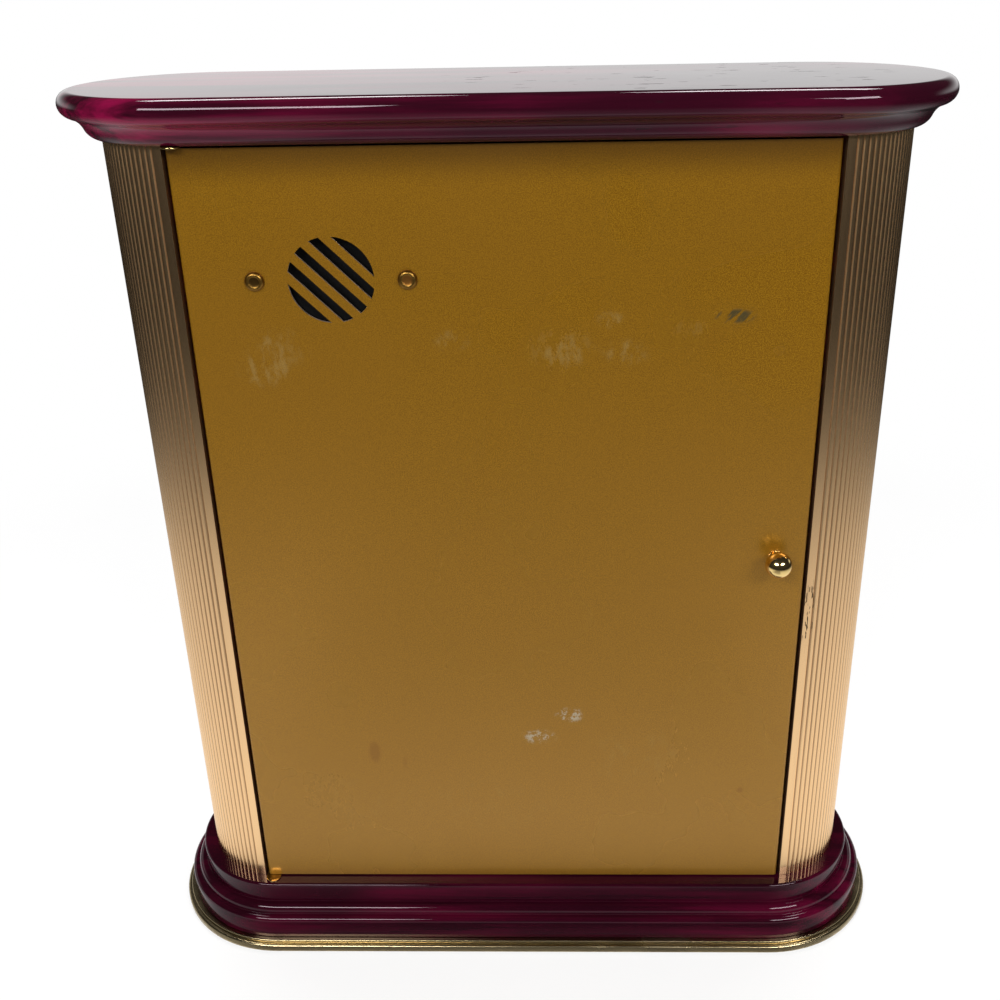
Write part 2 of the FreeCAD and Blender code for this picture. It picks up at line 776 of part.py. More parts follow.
# Ends: half-round shells with convex reeds between two plain lips, flanged behind the lips
def make_ends():
    outline = [("lip_x", "0 - lip_y")]
    step = "reeded_half_angle + lip_step_angle"
    outline.append((f"end_radius * cos({step})", f"0 - end_radius * sin({step})", "end_radius", 1))
    outline.append(("valley_radius * cos(reeded_half_angle)", "0 - valley_radius * sin(reeded_half_angle)"))
    for reed in range(1, count("reed_count") + 1):
        turn = f"({reed} * reed_angle - reeded_half_angle)"
        outline.append((f"valley_radius * cos{turn}", f"valley_radius * sin{turn}", "reed_radius", 1))
    outline.append((f"end_radius * cos({step})", f"end_radius * sin({step})"))
    outline.append(("lip_x", "lip_y", "end_radius", 1))
    outline.append(("lip_x", "lip_y - column_flange"))
    outline.append(("flange_back", "lip_y - column_flange"))
    outline.append(("flange_back", "inner_y"))
    outline.append(("flange_back", "0 - inner_y", "inner_radius", -1))
    outline.append(("flange_back", "column_flange - lip_y"))
    outline.append(("lip_x", "column_flange - lip_y"))
    for side, sign in SIDES:
        turn = HALF_TURN if side == "left" else None
        keep(
            f"column_{side}",
            padded(f"shell_{side}", "XY_Plane", [outline], "body_height",
                   (sign + "end_center", "0", "base_top"), turn),
        )
        start = "upright_inner" if side == "right" else "0 - opening_half"
        plank = box(
            f"plank_{side}",
            ("upright_thickness", "upright_rear - glass_back", "body_height"),
            (start, "glass_back", "base_top"),
        )
        holes = [
            rod(f"upright_pilot_{side}_{number}", "screw_radius", "upright_screw_length",
                (sign + "upright_middle", front + "upright_screw_spacing / 2",
                 "base_bottom + 2 * screw_head_height"))
            for number, front in enumerate(("", "0 - "))
        ]
        keep(f"upright_{side}", cut(f"drilled_plank_{side}", plank, *holes))


# Front: frame, glass, dial board, dial, ring and hour markers
def make_front():
    window_half = "frame_half - frame_member"
    low = "base_top + frame_member"
    high = "ceiling - frame_member"
    outer = [("0 - frame_half", "base_top"), ("frame_half", "base_top"), ("frame_half", "ceiling"),
             ("0 - frame_half", "ceiling")]
    inner = [(f"0 - ({window_half})", low), (window_half, low), (window_half, high),
             (f"0 - ({window_half})", high)]
    frame = padded("window_frame", "XZ_Plane", [outer, inner], "frame_thickness", ("0", "frame_back", "0"))
    plain = frame.Tip
    doc.recompute()
    front_edges = []
    for number, edge in enumerate(frame.Shape.Edges, start=1):
        ends = [vertex.Point for vertex in edge.Vertexes]
        inside = all(abs(end.x) < value("frame_half - frame_member / 2") for end in ends)
        in_front = all(abs(end.y + value("end_radius")) < value("frame_fit") for end in ends)
        if inside and in_front:
            front_edges.append(f"Edge{number}")
    bevel = frame.newObject("PartDesign::Chamfer", "window_frame_bevel")
    bevel.Base = (plain, front_edges)
    bind(bevel, Size="frame_bevel")
    keep("front_frame", frame)
    keep(
        "front_glass",
        box("pane", ("2 * frame_half", "glass_thickness", "body_height"),
            ("0 - frame_half", "frame_back", "base_top")),
    )

    board = box(
        "dial_panel",
        ("2 * upright_inner", "dial_board_thickness", "dial_board_height"),
        ("0 - upright_inner", "dial_board_front", "ceiling - dial_board_height"),
    )
    bush_way = rod("bush_way", "bush_radius + running_clearance", "dial_board_thickness + dial_thickness",
                   ("0", "dial_front", "dial_z"), "y")
    keep("dial_board", cut("bored_dial_panel", board, bush_way))
    disc = rod("dial_disc", "dial_radius", "dial_thickness", ("0", "dial_front", "dial_z"), "y")
    dial_way = rod("dial_way", "bush_radius + running_clearance", "dial_thickness",
                   ("0", "dial_front", "dial_z"), "y")
    keep("dial_plate", cut("bored_dial", disc, dial_way))
    keep(
        "dial_ring",
        turned(
            "ring",
            [
                ("dial_radius", "0"),
                ("ring_edge", "0"),
                ("ring_edge", "dial_ring_edge"),
                ("ring_edge - ring_crown", "dial_ring_height", "ring_crown", 1),
                ("ring_edge - ring_crown - dial_ring_flat", "dial_ring_height"),
                ("dial_radius - dial_ring_lap", "dial_thickness + dial_ring_lip"),
                ("dial_radius - dial_ring_lap", "dial_thickness"),
                ("dial_radius", "dial_thickness"),
            ],
            ("0", "dial_board_front", "dial_z"),
            TO_FRONT,
        ),
    )
    markers = []
    start = "(dial_radius - dial_ring_lap - marker_from_ring - marker_length)"
    for number in range(count("marker_count")):
        turn = f"({number} * 360 / marker_count)"
        marker = box(f"marker_{number}", ("marker_width", "marker_height", "marker_length"), ("0", "0", "0"))
        across = f"{start} * sin{turn} - marker_width / 2 * cos{turn}"
        up = f"dial_z + {start} * cos{turn} + marker_width / 2 * sin{turn}"
        place(marker, (across, "dial_front - marker_height", up), Rotation(Vector(0, 1, 0), value(turn)))
        markers.append(marker)
    keep("hour_markers", group("marker_set", *markers))


# Door: a shallow steel pan with a slotted grille, turning on two pins
def make_door():
    half = "door_width / 2"
    back = "end_radius"
    fold = "end_radius - door_fold"
    inside = "door_inner"
    pan = padded(
        "pan",
        "XY_Plane",
        [
            [
                (half, fold),
                (half, f"{back} - door_corner"),
                (f"{half} - door_corner", back, "door_corner", 1),
                (f"door_corner - {half}", back),
                (f"0 - {half}", f"{back} - door_corner", "door_corner", 1),
                (f"0 - {half}", fold),
                (f"door_sheet - {half}", fold),
                (f"door_sheet - {half}", inside),
                (f"{half} - door_sheet", inside),
                (f"{half} - door_sheet", fold),
            ]
        ],
        "door_height",
        ("0", "0", "door_bottom"),
    )
    shapes = [pan]
    tools = []
    levels = (("lower", "door_bottom"), ("upper", "door_bottom + door_height - door_sheet"))
    for name, level in levels:
        shapes.append(
            box(f"{name}_fold", ("door_width - 2 * door_sheet", "door_fold - door_sheet", "door_sheet"),
                (f"door_sheet - {half}", fold, level))
        )
        shapes.append(
            box(f"{name}_ear",
                ("hinge_ear_inside + hinge_ear_outside", "hinge_ear_depth - door_fold", "door_sheet"),
                ("hinge_x - hinge_ear_inside", "end_radius - hinge_ear_depth", level))
        )
        tools.append(
            rod(f"{name}_pin_way", "hinge_pin_radius + running_clearance", "door_sheet + 2 * overrun",
                ("hinge_x", "hinge_y", f"{level} - overrun"))
        )
    through = "door_sheet + 2 * overrun"
    start = "door_inner - overrun"
    opening = rod("grille_opening", "grille_radius", through, ("grille_across", start, "grille_z"), "y")
    bars = []
    for number in range(count("grille_bar_count")):
        offset = f"({number} - (grille_bar_count - 1) / 2) * grille_pitch - grille_bar / 2"
        bar = box(f"grille_bar_{number}", ("2 * grille_radius", through, "grille_bar"), ("0", "0", "0"))
        lean = "(grille_bar_angle)"
        place(
            bar,
            (
                f"grille_across - grille_radius * cos{lean} - ({offset}) * sin{lean}",
                start,
                f"grille_z - grille_radius * sin{lean} + ({offset}) * cos{lean}",
            ),
            Rotation(Vector(0, 1, 0), -value("grille_bar_angle")),
        )
        bars.append(bar)
    tools.append(cut("grille_slots", opening, *bars))
    tools.append(rod("knob_way", "knob_screw_radius", through, ("0 - knob_across", start, "knob_z"), "y"))
    for side, across in RIVET_PLACES:
        rivet_at = (across, start, "grille_z")
        tools.append(rod(f"rivet_way_{side}", "rivet_shank_radius", through, rivet_at, "y"))
    keep("back_door", cut("door_pan", join("folded_pan", *shapes), *tools))

    knob = turned(
        "knob",
        [
            ("0", "0"),
            ("knob_foot_radius", "0"),
            ("knob_foot_radius", "knob_foot_height"),
            ("knob_stem_radius", "knob_foot_height"),
            ("knob_stem_radius", "knob_stem_length"),
            ("knob_radius", "knob_ball_center", "knob_radius", 1),
            ("0", "knob_ball_center + knob_radius", "knob_radius", 1),
        ],
        ("0 - knob_across", "end_radius", "knob_z"),
        TO_BACK,
    )
    thread = rod("knob_thread", "knob_screw_radius", "knob_screw_length",
                 ("0 - knob_across", "door_inner", "knob_z"), "y")
    keep("door_knob", cut("tapped_knob", knob, thread))
    head = rod("knob_screw_head", "knob_screw_head_radius", "knob_screw_head_height",
               ("0 - knob_across", "door_inner - knob_screw_head_height", "knob_z"), "y")
    shank = rod("knob_screw_shank", "knob_screw_radius", "knob_screw_length",
                ("0 - knob_across", "door_inner", "knob_z"), "y")
    keep("knob_screw", join("knob_fixing", head, shank))

    pins = []
    for name, level, pin_start in (
        ("lower", "base_top", "base_top - hinge_pin_engage"),
        ("upper", "ceiling - lug_thickness", "ceiling - door_end_gap - door_sheet - overrun"),
    ):
        strip = box(f"{name}_strip", ("lug_width", "lug_center - lug_start", "lug_thickness"),
                    ("hinge_x - lug_width / 2", "lug_start", level))
        eye = rod(f"{name}_eye", "lug_width / 2", "lug_thickness", ("hinge_x", "lug_center", level))
        way = rod(f"{name}_lug_way", "hinge_pin_radius", "lug_thickness", ("hinge_x", "hinge_y", level))
        keep(f"{name}_pivot_lug", cut(f"{name}_lug", join(f"{name}_tongue", strip, eye), way))
        length = "hinge_pin_engage + door_end_gap + door_sheet + overrun"
        pins.append(rod(f"{name}_pin", "hinge_pin_radius", length, ("hinge_x", "hinge_y", pin_start)))
    keep("door_pivot_pins", group("pin_pair", *pins))

    housing = box("catch_body", ("catch_width", "catch_depth", "catch_height"),
                  ("0 - upright_inner", "door_inner - catch_gap - catch_depth", "base_top + catch_up"))
    magnet_at = ("0 - upright_inner + (catch_width - magnet_width) / 2",
                 "door_inner - catch_gap - magnet_depth",
                 "base_top + catch_up + (catch_height - magnet_height) / 2")
    magnet_size = ("magnet_width", "magnet_depth", "magnet_height")
    keep("door_catch", cut("catch_housing", housing, box("magnet_seat", magnet_size, magnet_at)))
    keep("catch_magnet", box("magnet_block", magnet_size, magnet_at))


# Speaker: ears riveted to the door behind the grille
def make_speaker():
    middle = ("grille_across", "door_inner", "grille_z")
    basket = turned(
        "basket",
        [
            ("speaker_seat_radius", "0"),
            ("speaker_flange_radius", "0"),
            ("speaker_flange_radius", "speaker_flange"),
            ("speaker_seat_radius + speaker_wall", "speaker_flange"),
            ("speaker_basket_radius", "speaker_flange + speaker_basket_depth"),
            ("0", "speaker_flange + speaker_basket_depth"),
            ("0", "speaker_flange + speaker_basket_depth - speaker_wall"),
            ("speaker_basket_radius - speaker_wall", "speaker_flange + speaker_basket_depth - speaker_wall"),
            ("speaker_seat_radius", "speaker_flange"),
        ],
        middle,
        TO_FRONT,
    )
    arm_length = "rivet_spacing / 2 - speaker_seat_radius"
    arm_starts = {"right": "grille_across + speaker_seat_radius", "left": "grille_across - rivet_spacing / 2"}
    shapes = [basket]
    ways = []
    rivets = []
    for side, across in RIVET_PLACES:
        at = (across, "door_inner - speaker_flange", "grille_z")
        shapes.append(rod(f"ear_{side}", "speaker_ear_radius", "speaker_flange", at, "y"))
        shapes.append(
            box(f"ear_arm_{side}", (arm_length, "speaker_flange", "2 * speaker_ear_radius"),
                (arm_starts[side], "door_inner - speaker_flange", "grille_z - speaker_ear_radius"))
        )
        ways.append(rod(f"ear_way_{side}", "rivet_shank_radius", "speaker_flange", at, "y"))
        rivets.append(
            turned(
                f"rivet_{side}",
                [
                    ("0", "0 - door_sheet - speaker_flange - rivet_foot_height"),
                    ("rivet_foot_radius", "0 - door_sheet - speaker_flange - rivet_foot_height"),
                    ("rivet_foot_radius", "0 - door_sheet - speaker_flange"),
                    ("rivet_shank_radius", "0 - door_sheet - speaker_flange"),
                    ("rivet_shank_radius", "0"),
                    ("rivet_head_radius", "0"),
                    ("rivet_head_radius", "rivet_rim"),
                    ("0", "rivet_head_height", "rivet_dome", 1),
                ],
                (across, "end_radius", "grille_z"),
                TO_BACK,
            )
        )
    keep("speaker_frame", cut("eared_basket", join("basket_and_ears", *shapes), *ways))
    keep("speaker_rivets", group("rivet_pair", *rivets))
    keep(
        "speaker_magnet",
        rod("ring_magnet", "speaker_magnet_radius", "speaker_magnet_height",
            ("grille_across", "door_inner - speaker_flange - speaker_basket_depth - speaker_magnet_height",
             "grille_z"), "y"),
    )
    keep(
        "speaker_cone",
        turned(
            "paper_cone",
            [
                ("0", "cone_start + cone_depth"),
                ("0", "cone_start + cone_depth - cone_paper"),
                ("dust_cap_radius", "cone_start + cone_depth - cone_paper"),
                ("cone_mouth - frame_fit", "cone_start"),
                ("cone_mouth - frame_fit", "cone_start + cone_paper"),
                ("dust_cap_radius", "cone_start + cone_depth"),
            ],
            middle,
            TO_FRONT,
        ),
    )


def gear(name, radius, teeth, bore, at):
    """A thin toothed wheel facing the back of the clock, bored for its shaft."""
    outlines = [[("0", "0", radius)], [("0", "0", bore)]]
    wheel = padded(name, "XY_Plane", outlines, "gear_thickness", at, TO_BACK)
    notch = new_sketch(wheel, name + "_notch", "XY_Plane")
    half = f"pi * {radius} / {teeth} / 2"
    rim = f"{radius} + tooth_depth"
    draw(notch, [(rim, f"0 - 2 * {half}"), (rim, f"2 * {half}"), (f"{radius} - tooth_depth", "0")])
    pocket = wheel.newObject("PartDesign::Pocket", name + "_tooth_gap")
    pocket.Profile = notch
    pocket.Type = "ThroughAll"
    pocket.Reversed = True
    ring = wheel.newObject("PartDesign::PolarPattern", name + "_teeth")
    ring.Originals = [pocket]
    ring.Axis = (notch, ["N_Axis"])
    ring.Angle = 360
    bind(ring, Occurrences=teeth)
    wheel.Tip = ring
    return wheel


def layer(number):
    """Depth of a gear layer, counted from the front wall of the movement."""
    return f"gear_start + {number} * gear_layer"


def tube(name, outer, inner, start, finish):
    """A tube on the dial's axis between two depths."""
    length = f"({finish}) - ({start})"
    wall = rod(name + "_wall", outer, length, ("0", start, "dial_z"), "y")
    bore = rod(name + "_bore", inner, length, ("0", start, "dial_z"), "y")
    return cut(name, wall, bore)


# Movement: case, cover, gears, electronics, cells and switches
def make_movement():
    height = "2 * movement_half_height"
    shell = box("case_block", ("2 * movement_half_width", "movement_depth", height),
                ("0 - movement_half_width", "movement_front", "drive_top"))
    hollow = box(
        "gear_room",
        ("compartment_right - compartment_left", "movement_depth", "2 * inner_half_height"),
        ("compartment_left", "movement_front + movement_wall", "dial_z - inner_half_height"),
    )
    bay = box("cell_bay", ("battery_bay_width", "battery_bay_depth + overrun", "battery_bay_height"),
              ("bay_left", "bay_front", "bay_bottom"))
    boss_length = "movement_depth - movement_wall - cover_thickness"
    boss_places = [
        (f"{side}", f"{level}")
        for side in ("compartment_left + boss_radius", "compartment_right - boss_radius")
        for level in ("dial_z + inner_half_height - boss_radius", "dial_z - inner_half_height + boss_radius")
    ]
    bosses = []
    pilots = []
    screws = []
    cover_ways = []
    for number, (across, up) in enumerate(boss_places):
        boss_at = (across, "movement_front + movement_wall", up)
        bosses.append(rod(f"boss_{number}", "boss_radius", boss_length, boss_at, "y"))
        start = (across, "movement_back - cover_screw_length", up)
        pilots.append(rod(f"boss_pilot_{number}", "cover_screw_radius", "cover_screw_length", start, "y"))
        cover_ways.append(rod(f"cover_way_{number}", "cover_screw_radius", "cover_screw_length", start, "y"))
        head = rod(f"cover_screw_head_{number}", "cover_screw_head_radius", "cover_screw_head_height",
                   (across, "movement_back", up), "y")
        shank = rod(f"cover_screw_shank_{number}", "cover_screw_radius", "cover_screw_length", start, "y")
        screws.append(join(f"cover_screw_{number}", head, shank))
    bush = rod("bush", "bush_radius", "bush_length", ("0", "movement_front - bush_length", "dial_z"), "y")
    bore = rod("bush_bore", "hour_tube_radius + running_clearance",
               "bush_length + movement_wall + 2 * overrun",
               ("0", "movement_front - bush_length - overrun", "dial_z"), "y")
    arbor_seat = rod("arbor_seat", "motion_arbor_radius + running_clearance", "movement_wall",
                     ("0 - mesh_distance", "movement_front + movement_wall / 2", "dial_z"), "y")
    hollowed = cut("hollow_case", shell, hollow, bay)
    solid_case = join("case_with_bosses", hollowed, bush, *bosses)
    keep("movement_case", cut("finished_case", solid_case, bore, arbor_seat, *pilots))
    keep("cover_screws", group("cover_screw_set", *screws))

    lid = box(
        "lid",
        ("compartment_right - compartment_left - 2 * slider_clearance", "cover_thickness",
         "2 * inner_half_height - 2 * slider_clearance"),
        ("compartment_left + slider_clearance", "cover_inner",
         "dial_z - inner_half_height + slider_clearance"),
    )
    cover_ways.append(rod("arbor_way", "motion_arbor_radius + running_clearance",
                          "cover_thickness + 2 * overrun",
                          ("0 - mesh_distance", "cover_inner - overrun", "dial_z"), "y"))
    cover_ways.append(rod("second_seat", "second_shaft_radius + running_clearance",
                          "cover_thickness / 2 + overrun",
                          ("0", "cover_inner - overrun", "dial_z"), "y"))
    for number, name in enumerate(("volume", "chime")):
        start = f"{number} * slider_spacing - slider_start"
        cover_ways.append(
            box(f"{name}_slot",
                ("slider_width + slider_travel + 2 * slider_clearance", "cover_thickness + 2 * overrun",
                 "slider_height + 2 * slider_clearance"),
                (f"{start} - slider_clearance", "cover_inner - overrun",
                 "slider_z - slider_height / 2 - slider_clearance"))
        )
        stem = box(f"{name}_stem",
                   ("slider_width", "slider_proud + cover_thickness + slider_clearance", "slider_height"),
                   (start, "cover_inner - slider_clearance", "slider_z - slider_height / 2"))
        foot = box(f"{name}_foot",
                   ("slider_width + 2 * slider_foot", "slider_foot_depth", "slider_height + 2 * slider_foot"),
                   (f"{start} - slider_foot", "cover_inner - slider_clearance - slider_foot_depth",
                    "slider_z - slider_height / 2 - slider_foot"))
        keep(f"{name}_slider", join(f"{name}_switch", stem, foot))
    keep("movement_cover", cut("slotted_lid", lid, *cover_ways))

    seat = ("0", "washer_front", "dial_z")
    washer = rod("washer_disc", "washer_radius", "washer_thickness", seat, "y")
    washer_way = rod("washer_way", "bush_radius", "washer_thickness", seat, "y")
    keep("fixing_washer", cut("washer", washer, washer_way))
    keep("fixing_nut", padded("nut", "XZ_Plane", [hexagon("nut_across"), [("0", "0", "bush_radius")]],
                              "nut_height", ("0", "washer_front", "dial_z")))

    keep("second_shaft", rod("second_arbor", "second_shaft_radius",
                             "cover_inner + cover_thickness / 2 - second_hand_y + hand_thickness",
                             ("0", "second_hand_y - hand_thickness", "dial_z"), "y"))
    keep("minute_tube", tube("minute_arbor", "minute_tube_radius", "second_shaft_radius + running_clearance",
                             "minute_hand_y - hand_thickness", layer(2) + " + gear_thickness"))
    keep("hour_tube", tube("hour_pipe", "hour_tube_radius", "minute_tube_radius + running_clearance",
                           "hour_hand_y - hand_thickness", layer(0) + " + gear_thickness"))
    keep("hour_wheel", gear("hour_gear", "hour_wheel_radius", "wheel_tooth_count", "hour_tube_radius",
                            ("0", layer(0), "dial_z")))
    pinion = gear("minute_pinion", "minute_pinion_radius", "pinion_tooth_count", "minute_tube_radius",
                  ("0", layer(1), "dial_z"))
    collar = tube("center_collar", "minute_tube_radius + tooth_depth", "minute_tube_radius",
                  layer(1) + " + gear_thickness", layer(2))
    wheel = gear("center_gear", "center_wheel_radius", "wheel_tooth_count", "minute_tube_radius",
                 ("0", layer(2), "dial_z"))
    keep("center_wheel", join("center_train", pinion, collar, wheel))
    seconds = gear("second_gear", "second_wheel_radius", "wheel_tooth_count", "second_shaft_radius",
                   ("0", layer(3), "dial_z"))
    keep("second_wheel", seconds)
    arbor_start = "movement_front + movement_wall / 2 + mesh_clearance"
    motion_at = ("0 - mesh_distance", arbor_start, "dial_z")
    arbor_length = f"knob_back_start + set_knob_height / 2 - ({arbor_start})"
    arbor = rod("motion_arbor", "motion_arbor_radius", arbor_length, motion_at, "y")
    slow = gear("motion_pinion", "motion_pinion_radius", "pinion_tooth_count", "motion_arbor_radius",
                ("0 - mesh_distance", layer(0), "dial_z"))
    fast = gear("motion_gear", "motion_wheel_radius", "wheel_tooth_count", "motion_arbor_radius",
                ("0 - mesh_distance", layer(1), "dial_z"))
    keep("motion_wheel", join("motion_train", arbor, slow, fast))
    knob = rod("hand_setter", "set_knob_radius", "set_knob_height",
               ("0 - mesh_distance", "knob_back_start", "dial_z"), "y")
    flutes = [rod("setter_bore", "motion_arbor_radius", "set_knob_height / 2",
                  ("0 - mesh_distance", "knob_back_start", "dial_z"), "y")]
    for number in range(count("set_knob_flute_count")):
        turn = f"({number} * 360 / set_knob_flute_count)"
        at = (f"set_knob_radius * cos{turn} - mesh_distance", "knob_back_start - overrun",
              f"dial_z + set_knob_radius * sin{turn}")
        flutes.append(rod(f"flute_{number}", "set_knob_flute", "set_knob_height + 2 * overrun", at, "y"))
    keep("set_knob", cut("fluted_setter", knob, *flutes))

    board_at = ("compartment_left", "movement_front + movement_wall", "dial_z - board_height / 2")
    keep("circuit_board", box("board_blank", ("board_width", "board_thickness", "board_height"), board_at))
    coil_at = "compartment_left + board_width / 2"
    core = rod("coil_core", "coil_radius", "coil_length", (coil_at, "coil_y", "dial_z - coil_length / 2"))
    cheeks = [
        rod(f"coil_cheek_{number}", "coil_cheek_radius", "coil_cheek", (coil_at, "coil_y", level))
        for number, level in enumerate(("dial_z - coil_length / 2 - coil_cheek", "dial_z + coil_length / 2"))
    ]
    keep("drive_coil", join("bobbin", core, *cheeks))

    cells = []
    springs = []
    cell_bottom = "bay_bottom + contact_thickness + spring_length"
    for number in range(2):
        across = f"bay_left + {2 * number + 1} * battery_bay_width / 4"
        can = rod(f"can_{number}", "battery_radius", "battery_length", (across, "battery_y", cell_bottom))
        cap = rod(f"cap_{number}", "battery_cap_radius", "battery_cap_height",
                  (across, "battery_y", f"{cell_bottom} + battery_length"))
        cells.append(join(f"cell_{number}", can, cap))
        tab = box(f"tab_{number}", ("2 * spring_radius", "2 * spring_radius", "contact_thickness"),
                  (f"{across} - spring_radius", "battery_y - spring_radius", "bay_bottom"))
        at = (across, "battery_y", "bay_bottom + contact_thickness")
        outer = cone(f"coil_outer_{number}", "spring_radius", "spring_tip_radius", "spring_length", at)
        inner = cone(f"coil_inner_{number}", "spring_radius - spring_wall", "spring_tip_radius - spring_wall",
                     "spring_length", at)
        springs.append(join(f"cell_spring_{number}", tab, cut(f"cell_coil_{number}", outer, inner)))
    keep("batteries", group("cell_pair", *cells))
    keep("battery_springs", group("spring_pair", *springs))
    keep("battery_plate", box("plus_plate", ("battery_bay_width", "contact_width", "contact_thickness"),
                              ("bay_left", "battery_y - contact_width / 2",
                               "bay_bottom + battery_bay_height - contact_thickness")))


def hand(name, length, width, tail, hub, bore, depth):
    """A flat hand, slim at its hub and widest at a shoulder before the tip."""
    waist = f"{width} * hand_waist_share"
    shoulder = f"{length} * hand_shoulder_share"
    blade = padded(
        f"{name}_blade",
        "XZ_Plane",
        [
            [
                (f"0 - {waist}", f"0 - {tail}"),
                (waist, f"0 - {tail}"),
                (f"{width} / 2", shoulder),
                ("0", length),
                (f"0 - {width} / 2", shoulder),
            ]
        ],
        "hand_thickness",
        ("0", depth, "dial_z"),
        Rotation(Vector(0, 1, 0), value(f"{name}_turn")),
    )
    disc = rod(f"{name}_hub", hub, "hand_thickness", ("0", f"{depth} - hand_thickness", "dial_z"), "y")
    hole = rod(f"{name}_hole", bore, "hand_thickness", ("0", f"{depth} - hand_thickness", "dial_z"), "y")
    keep(f"{name}_hand", cut(f"bored_{name}_hand", join(f"{name}_profile", blade, disc), hole))


def make_hands():
    hand("hour", "hour_hand_length", "hour_hand_width", "hour_tail", "hour_hub_radius",
         "hour_tube_radius", "hour_hand_y")
    hand("minute", "minute_hand_length", "minute_hand_width", "minute_tail", "minute_hub_radius",
         "minute_tube_radius", "minute_hand_y")
    hand("second", "second_hand_length", "second_hand_width", "second_tail", "second_hub_radius",
         "second_shaft_radius", "second_hand_y")


# Pendulum: a drive unit under the movement, a hanger on a pivot, a rod, a lens bob and its nut
def make_pendulum():
    block = box("drive_block", ("2 * drive_half_width", "drive_depth", "drive_height"),
                ("0 - drive_half_width", "movement_front", "drive_top - drive_height"))
    slot = box("drive_slot",
               ("2 * drive_slot_half_width", "drive_slot_depth", "drive_height - drive_wall + overrun"),
               ("0 - drive_slot_half_width", "pendulum_y - drive_slot_depth / 2",
                "drive_top - drive_height - overrun"))
    pin_start = "pendulum_y - drive_slot_depth / 2 - drive_wall"
    pin_length = "drive_slot_depth + 2 * drive_wall"
    pin_way = rod("pivot_way", "pivot_radius", pin_length, ("0", pin_start, "pivot_z"), "y")
    keep("pendulum_drive_case", cut("drive_case", block, slot, pin_way))
    keep("pendulum_pivot", rod("pivot_pin", "pivot_radius", pin_length, ("0", pin_start, "pivot_z"), "y"))

    strip = box("hanger_strip", ("hanger_width", "hanger_thickness", "hanger_length + hanger_width / 2"),
                ("0 - hanger_width / 2", "pendulum_y - hanger_thickness / 2", "hanger_bottom"))
    socket = box("hanger_socket", ("hanger_width", "hanger_block_depth", "hanger_block_height"),
                 ("0 - hanger_width / 2", "pendulum_y - hanger_block_depth / 2", "hanger_bottom"))
    pivot_bore = rod("hanger_bore", "pivot_radius + running_clearance", "hanger_block_depth",
                     ("0", "pendulum_y - hanger_block_depth / 2", "pivot_z"), "y")
    rod_seat = rod("rod_seat", "rod_radius", "rod_socket + overrun",
                   ("0", "pendulum_y", "hanger_bottom - overrun"))
    keep("pendulum_hanger", cut("hanger", join("hanger_blank", strip, socket), pivot_bore, rod_seat))
    keep("pendulum_rod", rod("pendulum_wire", "rod_radius", "rod_length", ("0", "pendulum_y", "rod_bottom")))

    lens = turned(
        "lens",
        [
            ("0", "0 - bob_half_thickness"),
            ("bob_radius", "0 - bob_edge", "bob_curve", 1),
            ("bob_radius", "bob_edge"),
            ("0", "bob_half_thickness", "bob_curve", 1),
        ],
        ("0", "pendulum_y", "bob_z"),
        TO_FRONT,
    )
    bob_way = rod("bob_way", "rod_radius", "2 * bob_radius + 2 * overrun",
                  ("0", "pendulum_y", "bob_z - bob_radius - overrun"))
    keep("pendulum_bob", cut("bored_bob", lens, bob_way))
    outlines = [hexagon("rating_nut_across"), [("0", "0", "rod_radius")]]
    nut_at = ("0", "pendulum_y", "bob_z - bob_radius - rating_nut_height")
    keep("rating_nut", padded("bob_nut", "XY_Plane", outlines, "rating_nut_height", nut_at))
    panel_at = ("0 - upright_inner", "movement_back - chamber_back_thickness", "base_top")
    panel_size = ("2 * upright_inner", "chamber_back_thickness", "chamber_back_height")
    keep("chamber_back", box("rear_panel", panel_size, panel_at))


for make in (make_base, make_top, make_ends, make_front, make_door, make_speaker, make_movement, make_hands,
             make_pendulum):
    make()
doc.recompute()

faults = [thing.Name for thing in doc.Objects if "Invalid" in thing.State or "Error" in thing.State]
faults += [label for label, thing in nodes.items() if thing.Shape.isNull() or not thing.Shape.isValid()]
if faults:
    raise SystemExit("not built: " + ", ".join(faults))

os.makedirs("parts", exist_ok=True)
for label, thing in nodes.items():
    thing.Shape.exportStep(f"parts/{label}.step")
print(len(nodes), "sub-parts written")
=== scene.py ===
import json
import math

import bmesh
import bpy
from mathutils import Matrix, Vector


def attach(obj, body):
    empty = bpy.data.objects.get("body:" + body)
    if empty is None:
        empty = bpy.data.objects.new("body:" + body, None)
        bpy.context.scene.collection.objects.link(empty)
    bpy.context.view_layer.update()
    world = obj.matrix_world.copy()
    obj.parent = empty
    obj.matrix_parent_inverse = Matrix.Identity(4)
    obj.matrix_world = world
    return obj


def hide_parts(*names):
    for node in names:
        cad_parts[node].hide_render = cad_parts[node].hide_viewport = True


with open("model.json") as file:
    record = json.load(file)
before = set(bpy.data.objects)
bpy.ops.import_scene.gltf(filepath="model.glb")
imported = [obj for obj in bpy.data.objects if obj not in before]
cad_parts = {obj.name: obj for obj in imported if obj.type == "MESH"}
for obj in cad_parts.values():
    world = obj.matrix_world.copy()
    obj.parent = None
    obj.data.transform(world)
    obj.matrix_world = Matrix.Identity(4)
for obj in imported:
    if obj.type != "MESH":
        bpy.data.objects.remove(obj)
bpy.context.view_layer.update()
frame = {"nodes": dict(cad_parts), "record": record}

# Oval mantel clock, seen from behind: lacquered mouldings, reeded ends, gold door.
# Metres, in the frame of the solids: X right as the dial is read, Y to the back door, Z up.

MM = 0.001
nodes = frame["nodes"]

